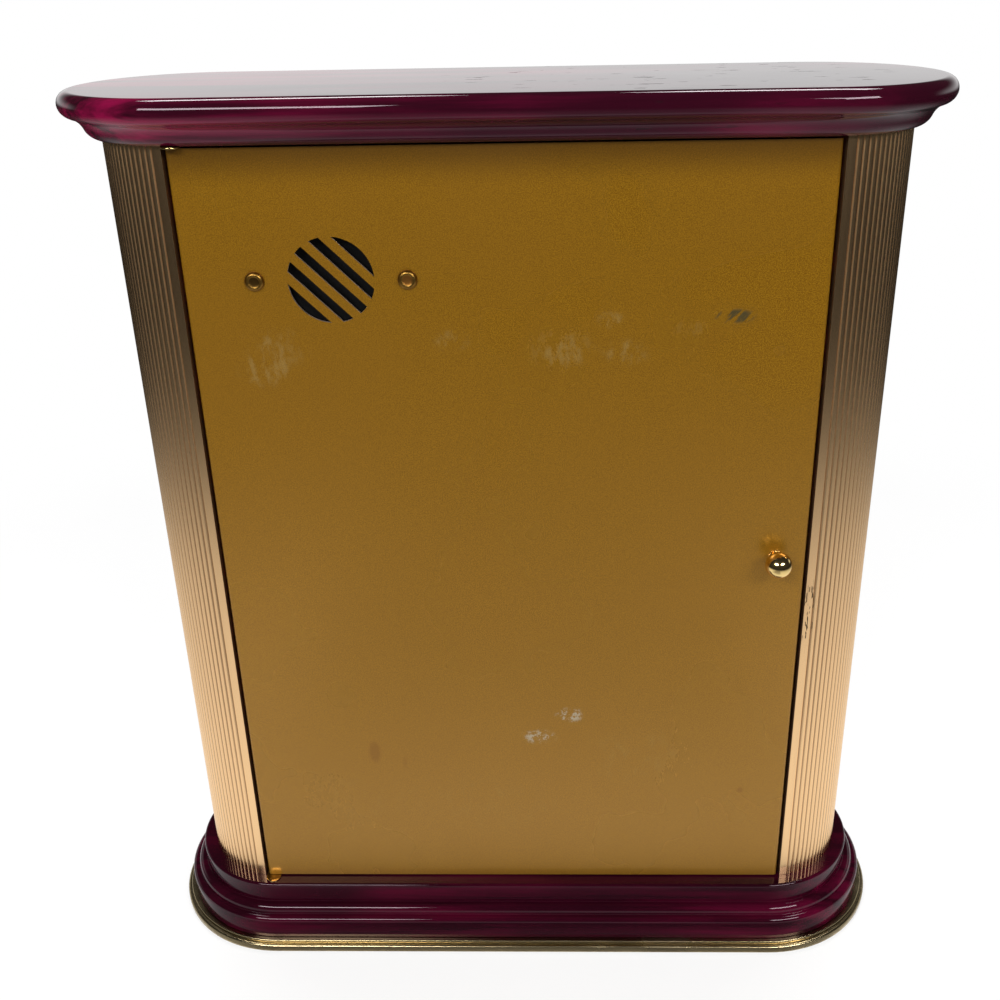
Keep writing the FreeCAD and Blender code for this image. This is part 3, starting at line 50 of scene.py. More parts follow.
# Sizes of the case in millimetres and degrees, as the solids have them
END_X = 91.6
END_RADIUS = 29.7
DOOR_FACE = 29.7
BASE_TOP = 25.0
CEILING = 291.0
TOP = 304.7
REED_COUNT = 40
REED_DEGREES = 3.74
KNOB_X, KNOB_Z = -85.3, 159.5
GRILLE_X, GRILLE_Z = 51.25, 252.2
RIVET_ACROSS = 22.6
DIAL_FACE = -14.5
DIAL_Z = 200.0
BOB_Z = 76.0


# Node graphs: one way to add a node, and sums written as Python expressions
class Wire:
    """An output socket. Sums and products of wires add Math nodes."""

    def __init__(self, graph, socket):
        self.graph = graph
        self.socket = socket

    def work(self, operation, first, second):
        return self.graph.maths(operation, first, second)

    def __add__(self, other):
        return self.work("ADD", self, other)

    def __radd__(self, other):
        return self.work("ADD", other, self)

    def __sub__(self, other):
        return self.work("SUBTRACT", self, other)

    def __rsub__(self, other):
        return self.work("SUBTRACT", other, self)

    def __mul__(self, other):
        return self.work("MULTIPLY", self, other)

    def __rmul__(self, other):
        return self.work("MULTIPLY", other, self)


class Graph:
    def __init__(self, tree):
        self.tree = tree

    def node(self, kind, inputs=None, output=0, stops=None, **settings):
        """Add a node: its settings first, then the values or wires of its sockets."""
        made = self.tree.nodes.new(kind)
        for name, setting in settings.items():
            setattr(made, name, setting)
        if stops:
            ramp = made.color_ramp.elements
            while len(ramp) < len(stops):
                ramp.new(1.0)
            for element, (place, color) in zip(ramp, stops):
                element.position = place
                element.color = (*color, 1.0)
        for name, given in (inputs or {}).items():
            if isinstance(given, Wire):
                self.tree.links.new(given.socket, made.inputs[name])
            elif given is not None:
                made.inputs[name].default_value = given
        return Wire(self, made.outputs[output]) if made.outputs else None

    def maths(self, operation, first, second=None):
        return self.node("ShaderNodeMath", {0: first, 1: second}, operation=operation)

    def part(self, vector, axis):
        """One coordinate of a vector: X, Y or Z."""
        return self.node("ShaderNodeSeparateXYZ", {0: vector}, output=axis)

    def span(self, given, low, high, start=0.0, finish=1.0):
        """Map a range smoothly onto another, clamped at both ends."""
        sockets = {"Value": given, "From Min": low, "From Max": high, "To Min": start, "To Max": finish}
        return self.node("ShaderNodeMapRange", sockets, interpolation_type="SMOOTHSTEP")


class Paint(Graph):
    """A procedural material on one Principled shader, patterned in object coordinates."""

    def __init__(self, name, **fixed):
        self.material = bpy.data.materials.new(name)
        self.material.use_nodes = True
        super().__init__(self.material.node_tree)
        self.tree.nodes.clear()
        self.shader = self.tree.nodes.new("ShaderNodeBsdfPrincipled")
        out = self.tree.nodes.new("ShaderNodeOutputMaterial")
        self.tree.links.new(self.shader.outputs[0], out.inputs["Surface"])
        self.where = self.node("ShaderNodeTexCoord", output="Object")
        for socket, given in fixed.items():
            self.feed(socket.replace("_", " "), given)

    def feed(self, socket, given):
        if isinstance(given, Wire):
            self.tree.links.new(given.socket, self.shader.inputs[socket])
        else:
            self.shader.inputs[socket].default_value = given

    def stretched(self, scale):
        return self.node("ShaderNodeMapping", {"Vector": self.where, "Scale": scale})

    def noise(self, scale, detail=2.0, stretch=None, rough=0.5):
        where = self.stretched(stretch) if stretch else self.where
        settings = {"Vector": where, "Scale": scale, "Detail": detail, "Roughness": rough}
        return self.node("ShaderNodeTexNoise", settings, output="Fac")

    def blend(self, mask, first, second):
        colors = [color if isinstance(color, Wire) else (*color, 1.0) for color in (first, second)]
        sockets = {0: mask, 6: colors[0], 7: colors[1]}
        return self.node("ShaderNodeMix", sockets, output=2, data_type="RGBA")

    def patch(self, center, reach, inner=0.3, stretch=(1, 1, 1)):
        """A soft patch round a point: 1 at its middle, 0 beyond its reach."""
        shifted = self.node("ShaderNodeVectorMath", {0: self.where, 1: center}, operation="SUBTRACT")
        scaled = self.node("ShaderNodeVectorMath", {0: shifted, 1: stretch}, operation="MULTIPLY")
        distance = self.node("ShaderNodeVectorMath", {0: scaled}, output="Value", operation="LENGTH")
        return self.span(distance, reach * inner, reach, 1.0, 0.0)

    def raise_by(self, height, distance, strength=1.0):
        sockets = {"Height": height, "Distance": distance, "Strength": strength}
        self.feed("Normal", self.node("ShaderNodeBump", sockets))


# Materials
def lacquer(name, dark, streak, gloss=0.035):
    """High-gloss lacquer over dark wood, darkened low down as painted shade, with redder grain streaks along
    the clock.
    """
    paint = Paint(name, IOR=1.5, Specular_IOR_Level=0.26, Specular_Tint=(1.0, 0.82, 0.9, 1.0))
    grain = paint.noise(150.0, 5.0, (0.05, 1.0, 1.0), 0.6)
    cloud = paint.noise(9.0, 3.0, (0.6, 1.0, 1.0))
    mask = paint.span(grain, 0.36, 0.66) * paint.span(cloud, 0.36, 0.6)
    color = paint.blend(mask, dark, streak)
    height = paint.part(paint.where, "Z")
    # Painted shade: low down the colour is blended up to halfway towards half the dark tone, fading out by
    # 200 mm up
    shade = tuple(channel * 0.5 for channel in dark)
    color = paint.blend(paint.span(height, 30.0 * MM, 200.0 * MM, 0.5, 0.0), color, shade)
    scuff = paint.span(paint.noise(60.0, 6.0, (0.15, 1.0, 1.0), 0.7), 0.62, 0.74)
    smear = paint.span(paint.noise(14.0, 3.0), 0.5, 0.72)
    worn = paint.patch((-50.0 * MM, -5.0 * MM, TOP * MM), 60.0 * MM, 0.4, (0.7, 1.0, 1.0))
    cuts = paint.span(paint.noise(420.0, 2.0, (0.2, 1.0, 1.0), 0.6), 0.66, 0.7) * worn
    paint.feed("Base Color", paint.blend(cuts * 0.8, color, (0.004, 0.002, 0.002)))
    paint.feed("Roughness", gloss + 0.09 * scuff + 0.03 * smear + 0.4 * cuts)
    paint.raise_by(paint.noise(34.0, 1.0, (0.5, 1.0, 1.0)) + 0.05 * scuff - 0.4 * cuts, 0.2 * MM, 0.3)
    return paint.material


def reeded_metal():
    """Bronze-gold anodising, darkened in the valleys between the reeds as painted shade, and pits beside one
    lip.
    """
    paint = Paint("anodised_bronze_gold", Metallic=1.0)
    depth = paint.part(paint.where, "Y")
    inward = paint.maths("ABSOLUTE", paint.part(paint.where, "X")) - END_X * MM
    radius = paint.maths("SQRT", inward * inward + depth * depth)
    valley = paint.span(radius, (END_RADIUS - 0.39) * MM, (END_RADIUS - 0.1) * MM, 1.0, 0.0)
    lines = paint.noise(900.0, 2.0, (1.0, 1.0, 0.02))
    tarnish = paint.span(paint.noise(24.0, 4.0, (1.0, 1.0, 0.3)), 0.45, 0.75)
    color = paint.blend(lines * 0.25 + tarnish * 0.15, (0.92, 0.6, 0.31), (0.7, 0.44, 0.23))
    # Painted shade: the valleys between the reeds are blended halfway to dark brown
    color = paint.blend(valley * 0.5, color, (0.24, 0.13, 0.07))
    near = paint.patch((-97.9 * MM, 29.2 * MM, 137.0 * MM), 14.0 * MM, 0.4, (5.0, 1.0, 0.9))
    pits = near * paint.span(paint.noise(1100.0, 2.0, (1.0, 1.0, 0.22), 0.6), 0.58, 0.62)
    paint.feed("Base Color", paint.blend(pits, color, (0.02, 0.014, 0.01)))
    paint.feed("Roughness", 0.19 + 0.06 * lines + 0.2 * valley + 0.3 * pits)
    paint.raise_by(lines, 0.02 * MM, 0.2)
    return paint.material


def metal(name, color, dull, rough=0.2, brushed=None, marks=0.3):
    """Worked metal: a base tone, duller handled patches and fine lines along one way."""
    paint = Paint(name, Metallic=1.0)
    handled = paint.span(paint.noise(45.0, 4.0), 0.45, 0.7)
    paint.feed("Base Color", paint.blend(handled * marks, color, dull))
    lines = paint.noise(900.0, 2.0, brushed or (1.0, 1.0, 1.0))
    paint.feed("Roughness", rough + 0.12 * handled + 0.08 * lines)
    paint.raise_by(lines, 0.02 * MM, 0.25)
    return paint.material


def turned_brass():
    """Polished brass, tarnished and dull on the door's pivot lugs."""
    paint = Paint("polished_brass", Metallic=1.0)
    handled = paint.span(paint.noise(45.0, 4.0), 0.45, 0.7)
    lug = paint.patch((93.0 * MM, 27.1 * MM, 0.0), 6.0 * MM, 0.8, (1.0, 1.0, 0.0))
    color = paint.blend(handled * 0.3, (0.86, 0.62, 0.25), (0.7, 0.48, 0.2))
    paint.feed("Base Color", paint.blend(lug, color, (0.26, 0.15, 0.03)))
    lines = paint.noise(900.0, 2.0)
    paint.feed("Roughness", 0.08 + 0.12 * handled + 0.08 * lines + 0.3 * lug)
    paint.raise_by(lines, 0.02 * MM, 0.25)
    return paint.material


def rivet_metal():
    """Brass rivet heads, polished round the rim, dull in the hollow, which is darkened by tarnish and
    painted shade.
    """
    paint = Paint("tarnished_brass", Metallic=1.0)
    hollow = None
    for across in (RIVET_ACROSS, -RIVET_ACROSS):
        crown = ((GRILLE_X + across) * MM, (DOOR_FACE + 0.9) * MM, GRILLE_Z * MM)
        near = paint.patch(crown, 1.75 * MM, 0.75)
        hollow = near if hollow is None else hollow + near
    tarnish = paint.noise(1100.0, 4.0)
    # Partly tarnish, partly painted shade: the hollows are blended to a dark colour set per rivet by X, near
    # black on the rivet at larger X and orange-brown on the other
    side = paint.span(paint.part(paint.where, "X"), (GRILLE_X - 1.25) * MM, (GRILLE_X + 0.75) * MM)
    dull = paint.blend(side, (0.2, 0.085, 0.018), (0.04, 0.022, 0.006))
    color = paint.blend(tarnish, (0.3, 0.17, 0.035), (0.18, 0.09, 0.02))
    paint.feed("Base Color", paint.blend(hollow * 0.9, color, dull))
    paint.feed("Roughness", 0.3 + 0.1 * tarnish + 0.2 * hollow)
    return paint.material


def moulded_plastic(name, color, rough=0.45, grit=0.05):
    paint = Paint(name, IOR=1.46)
    worn = paint.span(paint.noise(70.0, 4.0), 0.5, 0.72)
    paler = tuple(min(1.0, channel * 1.25 + 0.01) for channel in color)
    paint.feed("Base Color", paint.blend(worn, color, paler))
    paint.feed("Roughness", rough + 0.12 * worn)
    paint.raise_by(paint.noise(2400.0, 2.0), grit * MM, 0.4)
    return paint.material


def door_paint():
    """Gold paint with a fine metallic fleck, smudged, scratched and chipped by handling."""
    paint = Paint("gold_door_paint", IOR=1.5, Metallic=0.4)
    base = (0.222, 0.1, 0.0018)
    bright = (0.36, 0.18, 0.006)
    deep = (0.13, 0.054, 0.001)
    fleck = paint.noise(3000.0, 2.0, rough=0.8)
    height = paint.part(paint.where, "Z")
    cloud = paint.span(paint.noise(11.0, 4.0), 0.35, 0.7)
    color = paint.blend(paint.span(fleck, 0.34, 0.68), deep, bright)
    color = paint.blend(0.3 + 0.3 * cloud, color, base)
    # Painted light: the door is blended towards a paler gold lower down, a fifth of the way below 40 mm,
    # fading out by 260 mm
    color = paint.blend(paint.span(height, 40.0 * MM, 260.0 * MM, 0.2, 0.0), color, (0.36, 0.2, 0.06))
    # Painted shade under the top moulding: the door darkens towards its top edge, up to seven tenths of the
    # way to near black
    painted_shade_under_top = paint.span(height, (CEILING - 13.0) * MM, CEILING * MM, 0.0, 0.7)
    color = paint.blend(painted_shade_under_top, color, (0.05, 0.02, 0.002))

    def mark(x, z, reach, inner, stretch=(1, 1, 1)):
        return paint.patch((x * MM, DOOR_FACE * MM, z * MM), reach * MM, inner, stretch)

    # Each smear's place across and up, its reach in millimetres and its weight
    smears = (
        (73.9, 224.0, 9.0, 1.0), (70.0, 232.0, 12.0, 0.7), (17.0, 233.6, 7.0, 0.8),
        (-15.9, 230.1, 11.0, 1.0), (-31.0, 239.3, 5.0, 1.0), (-35.4, 229.0, 8.0, 0.8),
        (-54.6, 236.0, 6.0, 0.6), (10.0, 60.0, 34.0, 0.3), (-40.0, 80.0, 26.0, 0.4), (60.0, 60.0, 26.0, 0.3),
    )
    smudge = None
    wipe = paint.span(paint.noise(330.0, 6.0, (1.0, 1.0, 0.5), 0.78), 0.4, 0.68)
    for x, z, reach, weight in smears:
        near = mark(x, z, reach, 0.2, (0.75, 1.0, 1.25)) * weight
        smudge = near if smudge is None else smudge + near
    smudge = paint.span(smudge * wipe, 0.05, 0.8)
    color = paint.blend(smudge * 0.2, color, (0.34, 0.28, 0.11))
    rub = mark(-67.7, 240.0, 6.5, 0.5, (0.9, 1.0, 2.4))
    slant = {"Vector": paint.where, "Rotation": (0.0, -0.7, 0.0), "Scale": (1.0, 1.0, 5.0)}
    slanted = paint.node("ShaderNodeMapping", slant, vector_type="TEXTURE")
    pattern = {"Vector": slanted, "Scale": 900.0, "Detail": 2.0}
    strokes = paint.node("ShaderNodeTexNoise", pattern, output="Fac")
    rub = rub * paint.span(strokes, 0.46, 0.53)
    color = paint.blend(rub * 0.85, color, (0.035, 0.034, 0.01))
    chip = mark(-18.5, 97.6, 5.0, 0.4, (0.8, 1.0, 1.3)) + mark(-7.5, 88.5, 6.0, 0.3, (0.8, 1.0, 1.6))
    chip = chip * paint.span(paint.noise(420.0, 5.0, rough=0.8), 0.5, 0.58)
    color = paint.blend(chip * 0.6, color, (0.42, 0.41, 0.33))
    stain = mark(50.8, 82.0, 6.5, 0.3, (2.2, 1.0, 1.0)) + mark(40.3, 77.5, 4.0, 0.2, (3.0, 1.0, 1.0)) * 0.5
    stain = stain + mark(-79.3, 65.0, 1.6, 0.4)
    color = paint.blend(paint.span(stain, 0.0, 1.0) * 0.45, color, (0.16, 0.06, 0.006))
    level = paint.part(paint.where, "Y")
    grille = paint.patch((GRILLE_X * MM, (DOOR_FACE - 0.5) * MM, GRILLE_Z * MM), 15.5 * MM, 0.9)
    # Partly wear, partly painted highlight: a pale colour along the slots' cut edges, where the paint is
    # thin and the edges catch the light
    worn_and_lit_cut_edge = grille * paint.span(level, (DOOR_FACE - 0.3) * MM, (DOOR_FACE - 0.04) * MM, 1.0, 0.0)
    color = paint.blend(worn_and_lit_cut_edge * 0.8, color, (0.5, 0.4, 0.34))
    # Painted shade: within the grille, surfaces from 0.4 mm behind the door's face are blended towards near
    # black, fully by 1 mm
    behind = grille * paint.span(level, (DOOR_FACE - 1.0) * MM, (DOOR_FACE - 0.4) * MM, 1.0, 0.0)
    color = paint.blend(behind, color, (0.02, 0.015, 0.01))
    paint.feed("Base Color", color)
    paint.feed("Roughness", 0.27 + 0.12 * smudge + 0.05 * cloud + 0.2 * rub)
    wave = paint.noise(16.0, 2.0, (1.0, 1.0, 0.5))
    paint.raise_by(0.5 * wave + 0.035 * fleck - 0.05 * chip, 0.5 * MM, 0.3)
    return paint.material


def felt_cloth():
    paint = Paint("green_felt", Roughness=0.95, Sheen_Weight=0.5)
    fibre = paint.noise(1400.0, 6.0, rough=0.8)
    paint.feed("Base Color", paint.blend(fibre, (0.015, 0.05, 0.025), (0.05, 0.13, 0.07)))
    paint.raise_by(fibre, 0.4 * MM)
    return paint.material


def veneer():
    paint = Paint("dark_veneer", IOR=1.45)
    grain = paint.noise(220.0, 6.0, (1.0, 1.0, 0.06), 0.65)
    figure = paint.span(grain, 0.35, 0.68)
    paint.feed("Base Color", paint.blend(figure, (0.05, 0.022, 0.012), (0.17, 0.08, 0.04)))
    paint.feed("Roughness", 0.42 + 0.2 * grain)
    paint.raise_by(grain, 0.15 * MM, 0.5)
    return paint.material


def dial_paint():
    """Satin ivory dial, a shade warmer towards its rim."""
    paint = Paint("ivory_dial", IOR=1.45)
    middle = paint.patch((0.0, DIAL_FACE * MM, DIAL_Z * MM), 74.0 * MM, 0.1)
    paint.feed("Base Color", paint.blend(middle, (0.72, 0.62, 0.43), (0.82, 0.76, 0.62)))
    speck = paint.noise(1600.0, 3.0)
    paint.feed("Roughness", 0.38 + 0.1 * speck)
    paint.raise_by(speck, 0.02 * MM, 0.3)
    return paint.material


def clear_glass():
    paint = Paint("clear_glass", IOR=1.45, Transmission_Weight=1.0, Base_Color=(0.96, 0.99, 0.98, 1.0))
    paint.feed("Roughness", 0.01 + 0.03 * paint.span(paint.noise(30.0, 4.0), 0.55, 0.75))
    return paint.material


def pulp():
    paint = Paint("black_pulp", Roughness=0.9, Specular_IOR_Level=0.1)
    fibre = paint.noise(1800.0, 5.0, rough=0.75)
    paint.feed("Base Color", paint.blend(fibre, (0.002, 0.002, 0.002), (0.008, 0.008, 0.008)))
    paint.raise_by(fibre, 0.15 * MM, 0.6)
    return paint.material


def solder_mask():
    paint = Paint("green_solder_mask", IOR=1.5, Roughness=0.3)
    tracks = paint.span(paint.noise(420.0, 0.0, (1.0, 1.0, 0.25)), 0.5, 0.53)
    paint.feed("Base Color", paint.blend(tracks, (0.008, 0.09, 0.035), (0.02, 0.19, 0.07)))
    paint.raise_by(tracks, 0.05 * MM, 0.5)
    return paint.material


def cell_jacket():
    """A plain two-tone cell jacket: dark below, copper-coloured band above, with grey scuffs."""
    paint = Paint("cell_jacket", Metallic=0.6)
    band = paint.span(paint.part(paint.where, "Z"), 212.0 * MM, 212.6 * MM)
    scuffs = paint.noise(160.0, 5.0)
    color = paint.blend(band, (0.015, 0.015, 0.018), (0.55, 0.29, 0.13))
    paint.feed("Base Color", paint.blend(paint.span(scuffs, 0.6, 0.8) * 0.5, color, (0.3, 0.3, 0.3)))
    paint.feed("Roughness", 0.28 + 0.2 * scuffs)
    return paint.material


FINISH = {
    "burgundy_wood": lacquer("burgundy_lacquer", (0.02, 0.0018, 0.006), (0.17, 0.0035, 0.034)),
    "dark_red_wood": lacquer("dark_red_lacquer", (0.05, 0.006, 0.005), (0.17, 0.016, 0.012), 0.16),
    "reeded_aluminium": reeded_metal(),
    "plate_brass": metal(
        "base_plate_brass", (0.4, 0.32, 0.18), (0.2, 0.16, 0.1), 0.16, (0.05, 1.0, 1.0), 0.6),
    "polished_brass": turned_brass(),
    "rivet_brass": rivet_metal(),
    "frame_gold": metal(
        "gold_anodised_frame", (0.83, 0.6, 0.27), (0.7, 0.5, 0.24), 0.18, (1.0, 1.0, 0.05), 0.3),
    "steel": metal("zinc_steel", (0.62, 0.62, 0.6), (0.45, 0.44, 0.42), 0.26, (1.0, 0.1, 1.0), 0.4),
    "copper": metal("copper_winding", (0.7, 0.32, 0.16), (0.5, 0.2, 0.1), 0.25, (0.1, 0.1, 1.0), 0.3),
    "black_steel": moulded_plastic("black_enamel", (0.02, 0.02, 0.02), 0.35),
    "hand_black": moulded_plastic("black_hand_lacquer", (0.012, 0.012, 0.014), 0.2, 0.01),
    "black_plastic": moulded_plastic("black_moulding", (0.022, 0.022, 0.023)),
    "grey_plastic": moulded_plastic("grey_moulding", (0.085, 0.085, 0.09)),
    "brown_plastic": moulded_plastic("brown_moulding", (0.075, 0.04, 0.025)),
    "white_plastic": moulded_plastic("white_acetal", (0.72, 0.71, 0.66), 0.4),
    "red_plastic": moulded_plastic("red_moulding", (0.42, 0.03, 0.025), 0.3),
    "ferrite": moulded_plastic("ferrite", (0.035, 0.035, 0.037), 0.7, 0.12),
    "door_gold": door_paint(),
    "felt": felt_cloth(),
    "board": veneer(),
    "dial_ivory": dial_paint(),
    "glass": clear_glass(),
    "cone_paper": pulp(),
    "circuit_green": solder_mask(),
    "cell_jacket": cell_jacket(),
}


# Camera, at the photograph's place
def aim_camera():
    place = Vector((-15.479, 369.102, 339.886)) * MM
    yaw, pitch, roll = -0.030, 0.439, -0.020
    ahead = Vector((-math.sin(yaw) * math.cos(pitch), -math.cos(yaw) * math.cos(pitch), -math.sin(pitch)))
    level = Vector((-math.cos(yaw), math.sin(yaw), 0.0))
    upright = level.cross(ahead)
    right = math.cos(roll) * level + math.sin(roll) * upright
    up = math.cos(roll) * upright - math.sin(roll) * level
    camera = bpy.data.objects.new("photo_camera", bpy.data.cameras.new("photo_camera"))
    camera.matrix_world = Matrix.Translation(place) @ Matrix((right, up, -ahead)).transposed().to_4x4()
    camera.data.sensor_width = 36.0
    camera.data.lens = 42.40
    camera.data.shift_x = -0.02766
    camera.data.clip_start = 0.01
    camera.data.clip_end = 50.0
    bpy.context.scene.collection.objects.link(camera)
    bpy.context.scene.camera = camera


# Studio: pale floor, white backdrop, soft lamps, and surroundings that only reflections show
def light_studio():
    scene = bpy.context.scene
    scene.view_settings.view_transform = "Standard"
    world = bpy.data.worlds.new("studio")
    world.use_nodes = True
    scene.world = world
    sky = Graph(world.node_tree)
    sky.tree.nodes.clear()
    seen = sky.node("ShaderNodeLightPath", output="Is Camera Ray")
    clear = sky.node("ShaderNodeLightPath", output="Is Transmission Ray")
    mirrored = sky.node("ShaderNodeLightPath", output="Is Glossy Ray")
    shown = sky.node("ShaderNodeMath", {0: seen + clear, 1: mirrored}, operation="ADD", use_clamp=True)
    fill = 0.25
    strength = fill + (1 - fill) * shown
    light = sky.node("ShaderNodeBackground", {"Color": (1.0, 1.0, 1.0, 1.0), "Strength": strength})
    sky.node("ShaderNodeOutputWorld", {"Surface": light})


def only_mirrored(name, verts, faces, glow):
    """A stage piece that only reflections show, glowing by its place."""
    mesh = bpy.data.meshes.new(name)
    mesh.from_pydata(verts, [], faces)
    made = bpy.data.materials.new(name)
    made.use_nodes = True
    graph = Graph(made.node_tree)
    graph.tree.nodes.clear()
    light = graph.node("ShaderNodeEmission", {"Color": (1.0, 1.0, 1.0, 1.0), "Strength": glow(graph)})
    graph.node("ShaderNodeOutputMaterial", {"Surface": light})
    mesh.materials.append(made)
    piece = bpy.data.objects.new(name, mesh)
    bpy.context.scene.collection.objects.link(piece)
    for kind in ("camera", "diffuse", "shadow", "transmission", "volume_scatter"):
        setattr(piece, "visible_" + kind, False)


def oval_stations(half_length, steps):
    """Places round an oval in plan: the end's axis that each belongs to, and its way out."""
    stations = []
    for side, first in ((1, -90), (-1, 90)):
        for step in range(steps + 1):
            turn = math.radians(first + 180 * step / steps)
            stations.append((side * half_length * MM, math.cos(turn), math.sin(turn)))
    return stations


def encircled(profile, steps=32):
    """Points and faces of an open surface swept round the clock's oval plan."""
    stations = oval_stations(END_X, steps)
    verts = [(x + r * nx, r * ny, z) for r, z in profile for x, nx, ny in stations]
    count = len(stations)
    faces = []
    for row in range(len(profile) - 1):
        near, far = row * count, (row + 1) * count
        for k in range(count):
            ahead = (k + 1) % count
            faces.append((near + k, near + ahead, far + ahead, far + k))
    return verts, faces


# The mirrored room's reach from the oval's axis, in metres
ROOM = 1.7


def room_glow(graph):
    """A dark room behind the camera and overhead, a white band of backdrop beyond the clock."""
    where = graph.node("ShaderNodeTexCoord", output="Object")
    rise = graph.part(where, "Z")
    beyond = graph.span(graph.part(where, "Y"), -0.1, -0.7)
    low = graph.span(rise, 0.85, 0.4)
    lifted = graph.span(rise, 0.15, 0.4)
    dark = 0.03
    return dark + (1 - dark) * beyond * low * lifted


def floor_glow(graph):
    """The mirrored floor: shaded beside the base, white next to that, then darker with distance."""
    where = graph.node("ShaderNodeTexCoord", output="Object")
    toward = graph.part(where, "Y")
    outward = graph.maths("ABSOLUTE", graph.part(where, "X")) - END_X * MM
    outward = graph.maths("MAXIMUM", outward, 0.0)
    distance = graph.maths("SQRT", outward * outward + toward * toward)
    # Distance from the oval's axis in metres, and the level there: straight ahead, then round the ends
    ahead = (
        (0.045, 0.4), (0.048, 0.06), (0.058, 0.1), (0.066, 0.85), (0.09, 1.0), (0.13, 0.78), (0.2, 0.4),
        (0.3, 0.35), (0.42, 0.22), (0.6, 0.09), (0.8, 0.035), (1.0, 0.02),
    )
    aside = (
        (0.045, 0.7), (0.05, 0.6), (0.058, 0.9), (0.07, 1.0), (0.12, 1.0), (0.2, 0.88), (0.3, 0.74),
        (0.38, 0.5), (0.485, 0.22), (0.6, 0.07), (0.75, 0.025), (1.0, 0.015),
    )
    falls = []
    for levels in (ahead, aside):
        stops = [(place, (level,) * 3) for place, level in levels]
        falls.append(graph.node("ShaderNodeValToRGB", {0: distance}, stops=stops))
    turned = graph.span(outward, 0.0, 0.05)
    return (1 - turned) * falls[0] + turned * falls[1]


def add_stage():
    mesh = bpy.data.meshes.new("floor")
    reach = 5.0
    mesh.from_pydata([(-reach, -reach, 0), (reach, -reach, 0), (reach, reach, 0), (-reach, reach, 0)],
                     [], [(0, 1, 2, 3)])
    floor = bpy.data.objects.new("floor", mesh)
    bpy.context.scene.collection.objects.link(floor)
    paper = bpy.data.materials.new("floor_paper")
    paper.use_nodes = True
    graph = Graph(paper.node_tree)
    graph.tree.nodes.clear()
    where = graph.node("ShaderNodeTexCoord", output="Object")
    distance = graph.node("ShaderNodeVectorMath", {0: where}, output="Value", operation="LENGTH")
    far = graph.span(distance, 0.2, 0.55)
    matt = graph.node("ShaderNodeBsdfDiffuse", {"Color": (0.9, 0.9, 0.9, 1.0)})
    glow = graph.node("ShaderNodeEmission", {"Color": (1.0, 1.0, 1.0, 1.0), "Strength": 1.0})
    seen = graph.node("ShaderNodeLightPath", output="Is Camera Ray")
    bright = graph.maths("MAXIMUM", far, 0.75 * seen)
    shown = graph.node("ShaderNodeMixShader", {0: bright, 1: matt, 2: glow})
    graph.node("ShaderNodeOutputMaterial", {"Surface": shown})
    mesh.materials.append(paper)

    lift = 0.5 * MM
    mirror = [(foot, lift) for foot in (44.5 * MM, 0.3, ROOM)]
    only_mirrored("mirrored_floor", *encircled(mirror), floor_glow)
    arcs = [math.radians(6 * step) for step in range(15)]
    dome = [(ROOM * math.cos(turn), ROOM * math.sin(turn)) for turn in arcs] + [(1.0 * MM, ROOM)]
    only_mirrored("mirrored_room", *encircled(dome), room_glow)

    lit_point = Vector((0, 0, 0.16))
    lamps = ((0.4, 0.8, 0.76), (-0.53, 0.8, 0.76), (0.35, -0.5, 1.35), (-0.35, -0.5, 1.35))
    for number, place in enumerate(lamps):
        lamp = bpy.data.lights.new(f"softbox_{number}", "AREA")
        lamp.shape = "RECTANGLE"
        lamp.size = 0.5
        lamp.size_y = 0.2
        lamp.energy = 7.0
        holder = bpy.data.objects.new(f"softbox_{number}", lamp)
        holder.location = place
        toward = lit_point - Vector(holder.location)
        holder.rotation_euler = toward.to_track_quat("-Z", "Y").to_euler()
        bpy.context.scene.collection.objects.link(holder)


aim_camera()
light_studio()
add_stage()


# Mesh tools
def evaluated_mesh(carrier):
    """The plain mesh of an object with its modifiers applied. The object is removed."""
    graph = bpy.context.evaluated_depsgraph_get()
    mesh = bpy.data.meshes.new_from_object(carrier.evaluated_get(graph))
    bpy.data.objects.remove(carrier)
    return mesh


def carrier_of(mesh):
    carrier = bpy.data.objects.new("carrier", mesh)
    bpy.context.scene.collection.objects.link(carrier)
    return carrier


def softened(mesh, width, segments=2, angle=35):
    """The same mesh with its sharp edges rounded over."""
    carrier = carrier_of(mesh)
    bevel = carrier.modifiers.new("edges", "BEVEL")
    bevel.width = width
    bevel.segments = segments
    bevel.limit_method = "ANGLE"
    bevel.angle_limit = math.radians(angle)
    bevel.use_clamp_overlap = True
    bevel.harden_normals = False
    return evaluated_mesh(carrier)


def facing_out(mesh):
    """The same closed mesh with its faces turned outwards."""
    work = bmesh.new()
    work.from_mesh(mesh)
    bmesh.ops.recalc_face_normals(work, faces=work.faces)
    work.to_mesh(mesh)
    work.free()
    return mesh


def cleaned(node):
    """A merged copy of a solid's mesh, with its flat faces whole again."""
    mesh = bpy.data.meshes.new(node + "_copy")
    work = bmesh.new()
    work.from_mesh(nodes[node].data)
    bmesh.ops.remove_doubles(work, verts=work.verts, dist=0.002 * MM)
    bmesh.ops.dissolve_limit(work, angle_limit=math.radians(0.4), verts=work.verts, edges=work.edges)
    work.to_mesh(mesh)
    work.free()
    return mesh


def finish_piece(name, mesh, slot, body="case", replaced=(), crease=32, weighted=True):
    """Link a finished mesh as a piece, smooth but for its sharp edges, with its material and body."""
    mesh.materials.clear()
    mesh.materials.append(FINISH[slot])
    mesh.polygons.foreach_set("use_smooth", [True] * len(mesh.polygons))
    mesh.set_sharp_from_angle(angle=math.radians(crease))
    if weighted:
        carrier = carrier_of(mesh)
        carrier.modifiers.new("flats", "WEIGHTED_NORMAL").keep_sharp = True
        mesh = evaluated_mesh(carrier)
    piece = bpy.data.objects.new(name, mesh)
    bpy.context.scene.collection.objects.link(piece)
    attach(piece, body)
    if replaced:
        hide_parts(*replaced)
    return piece


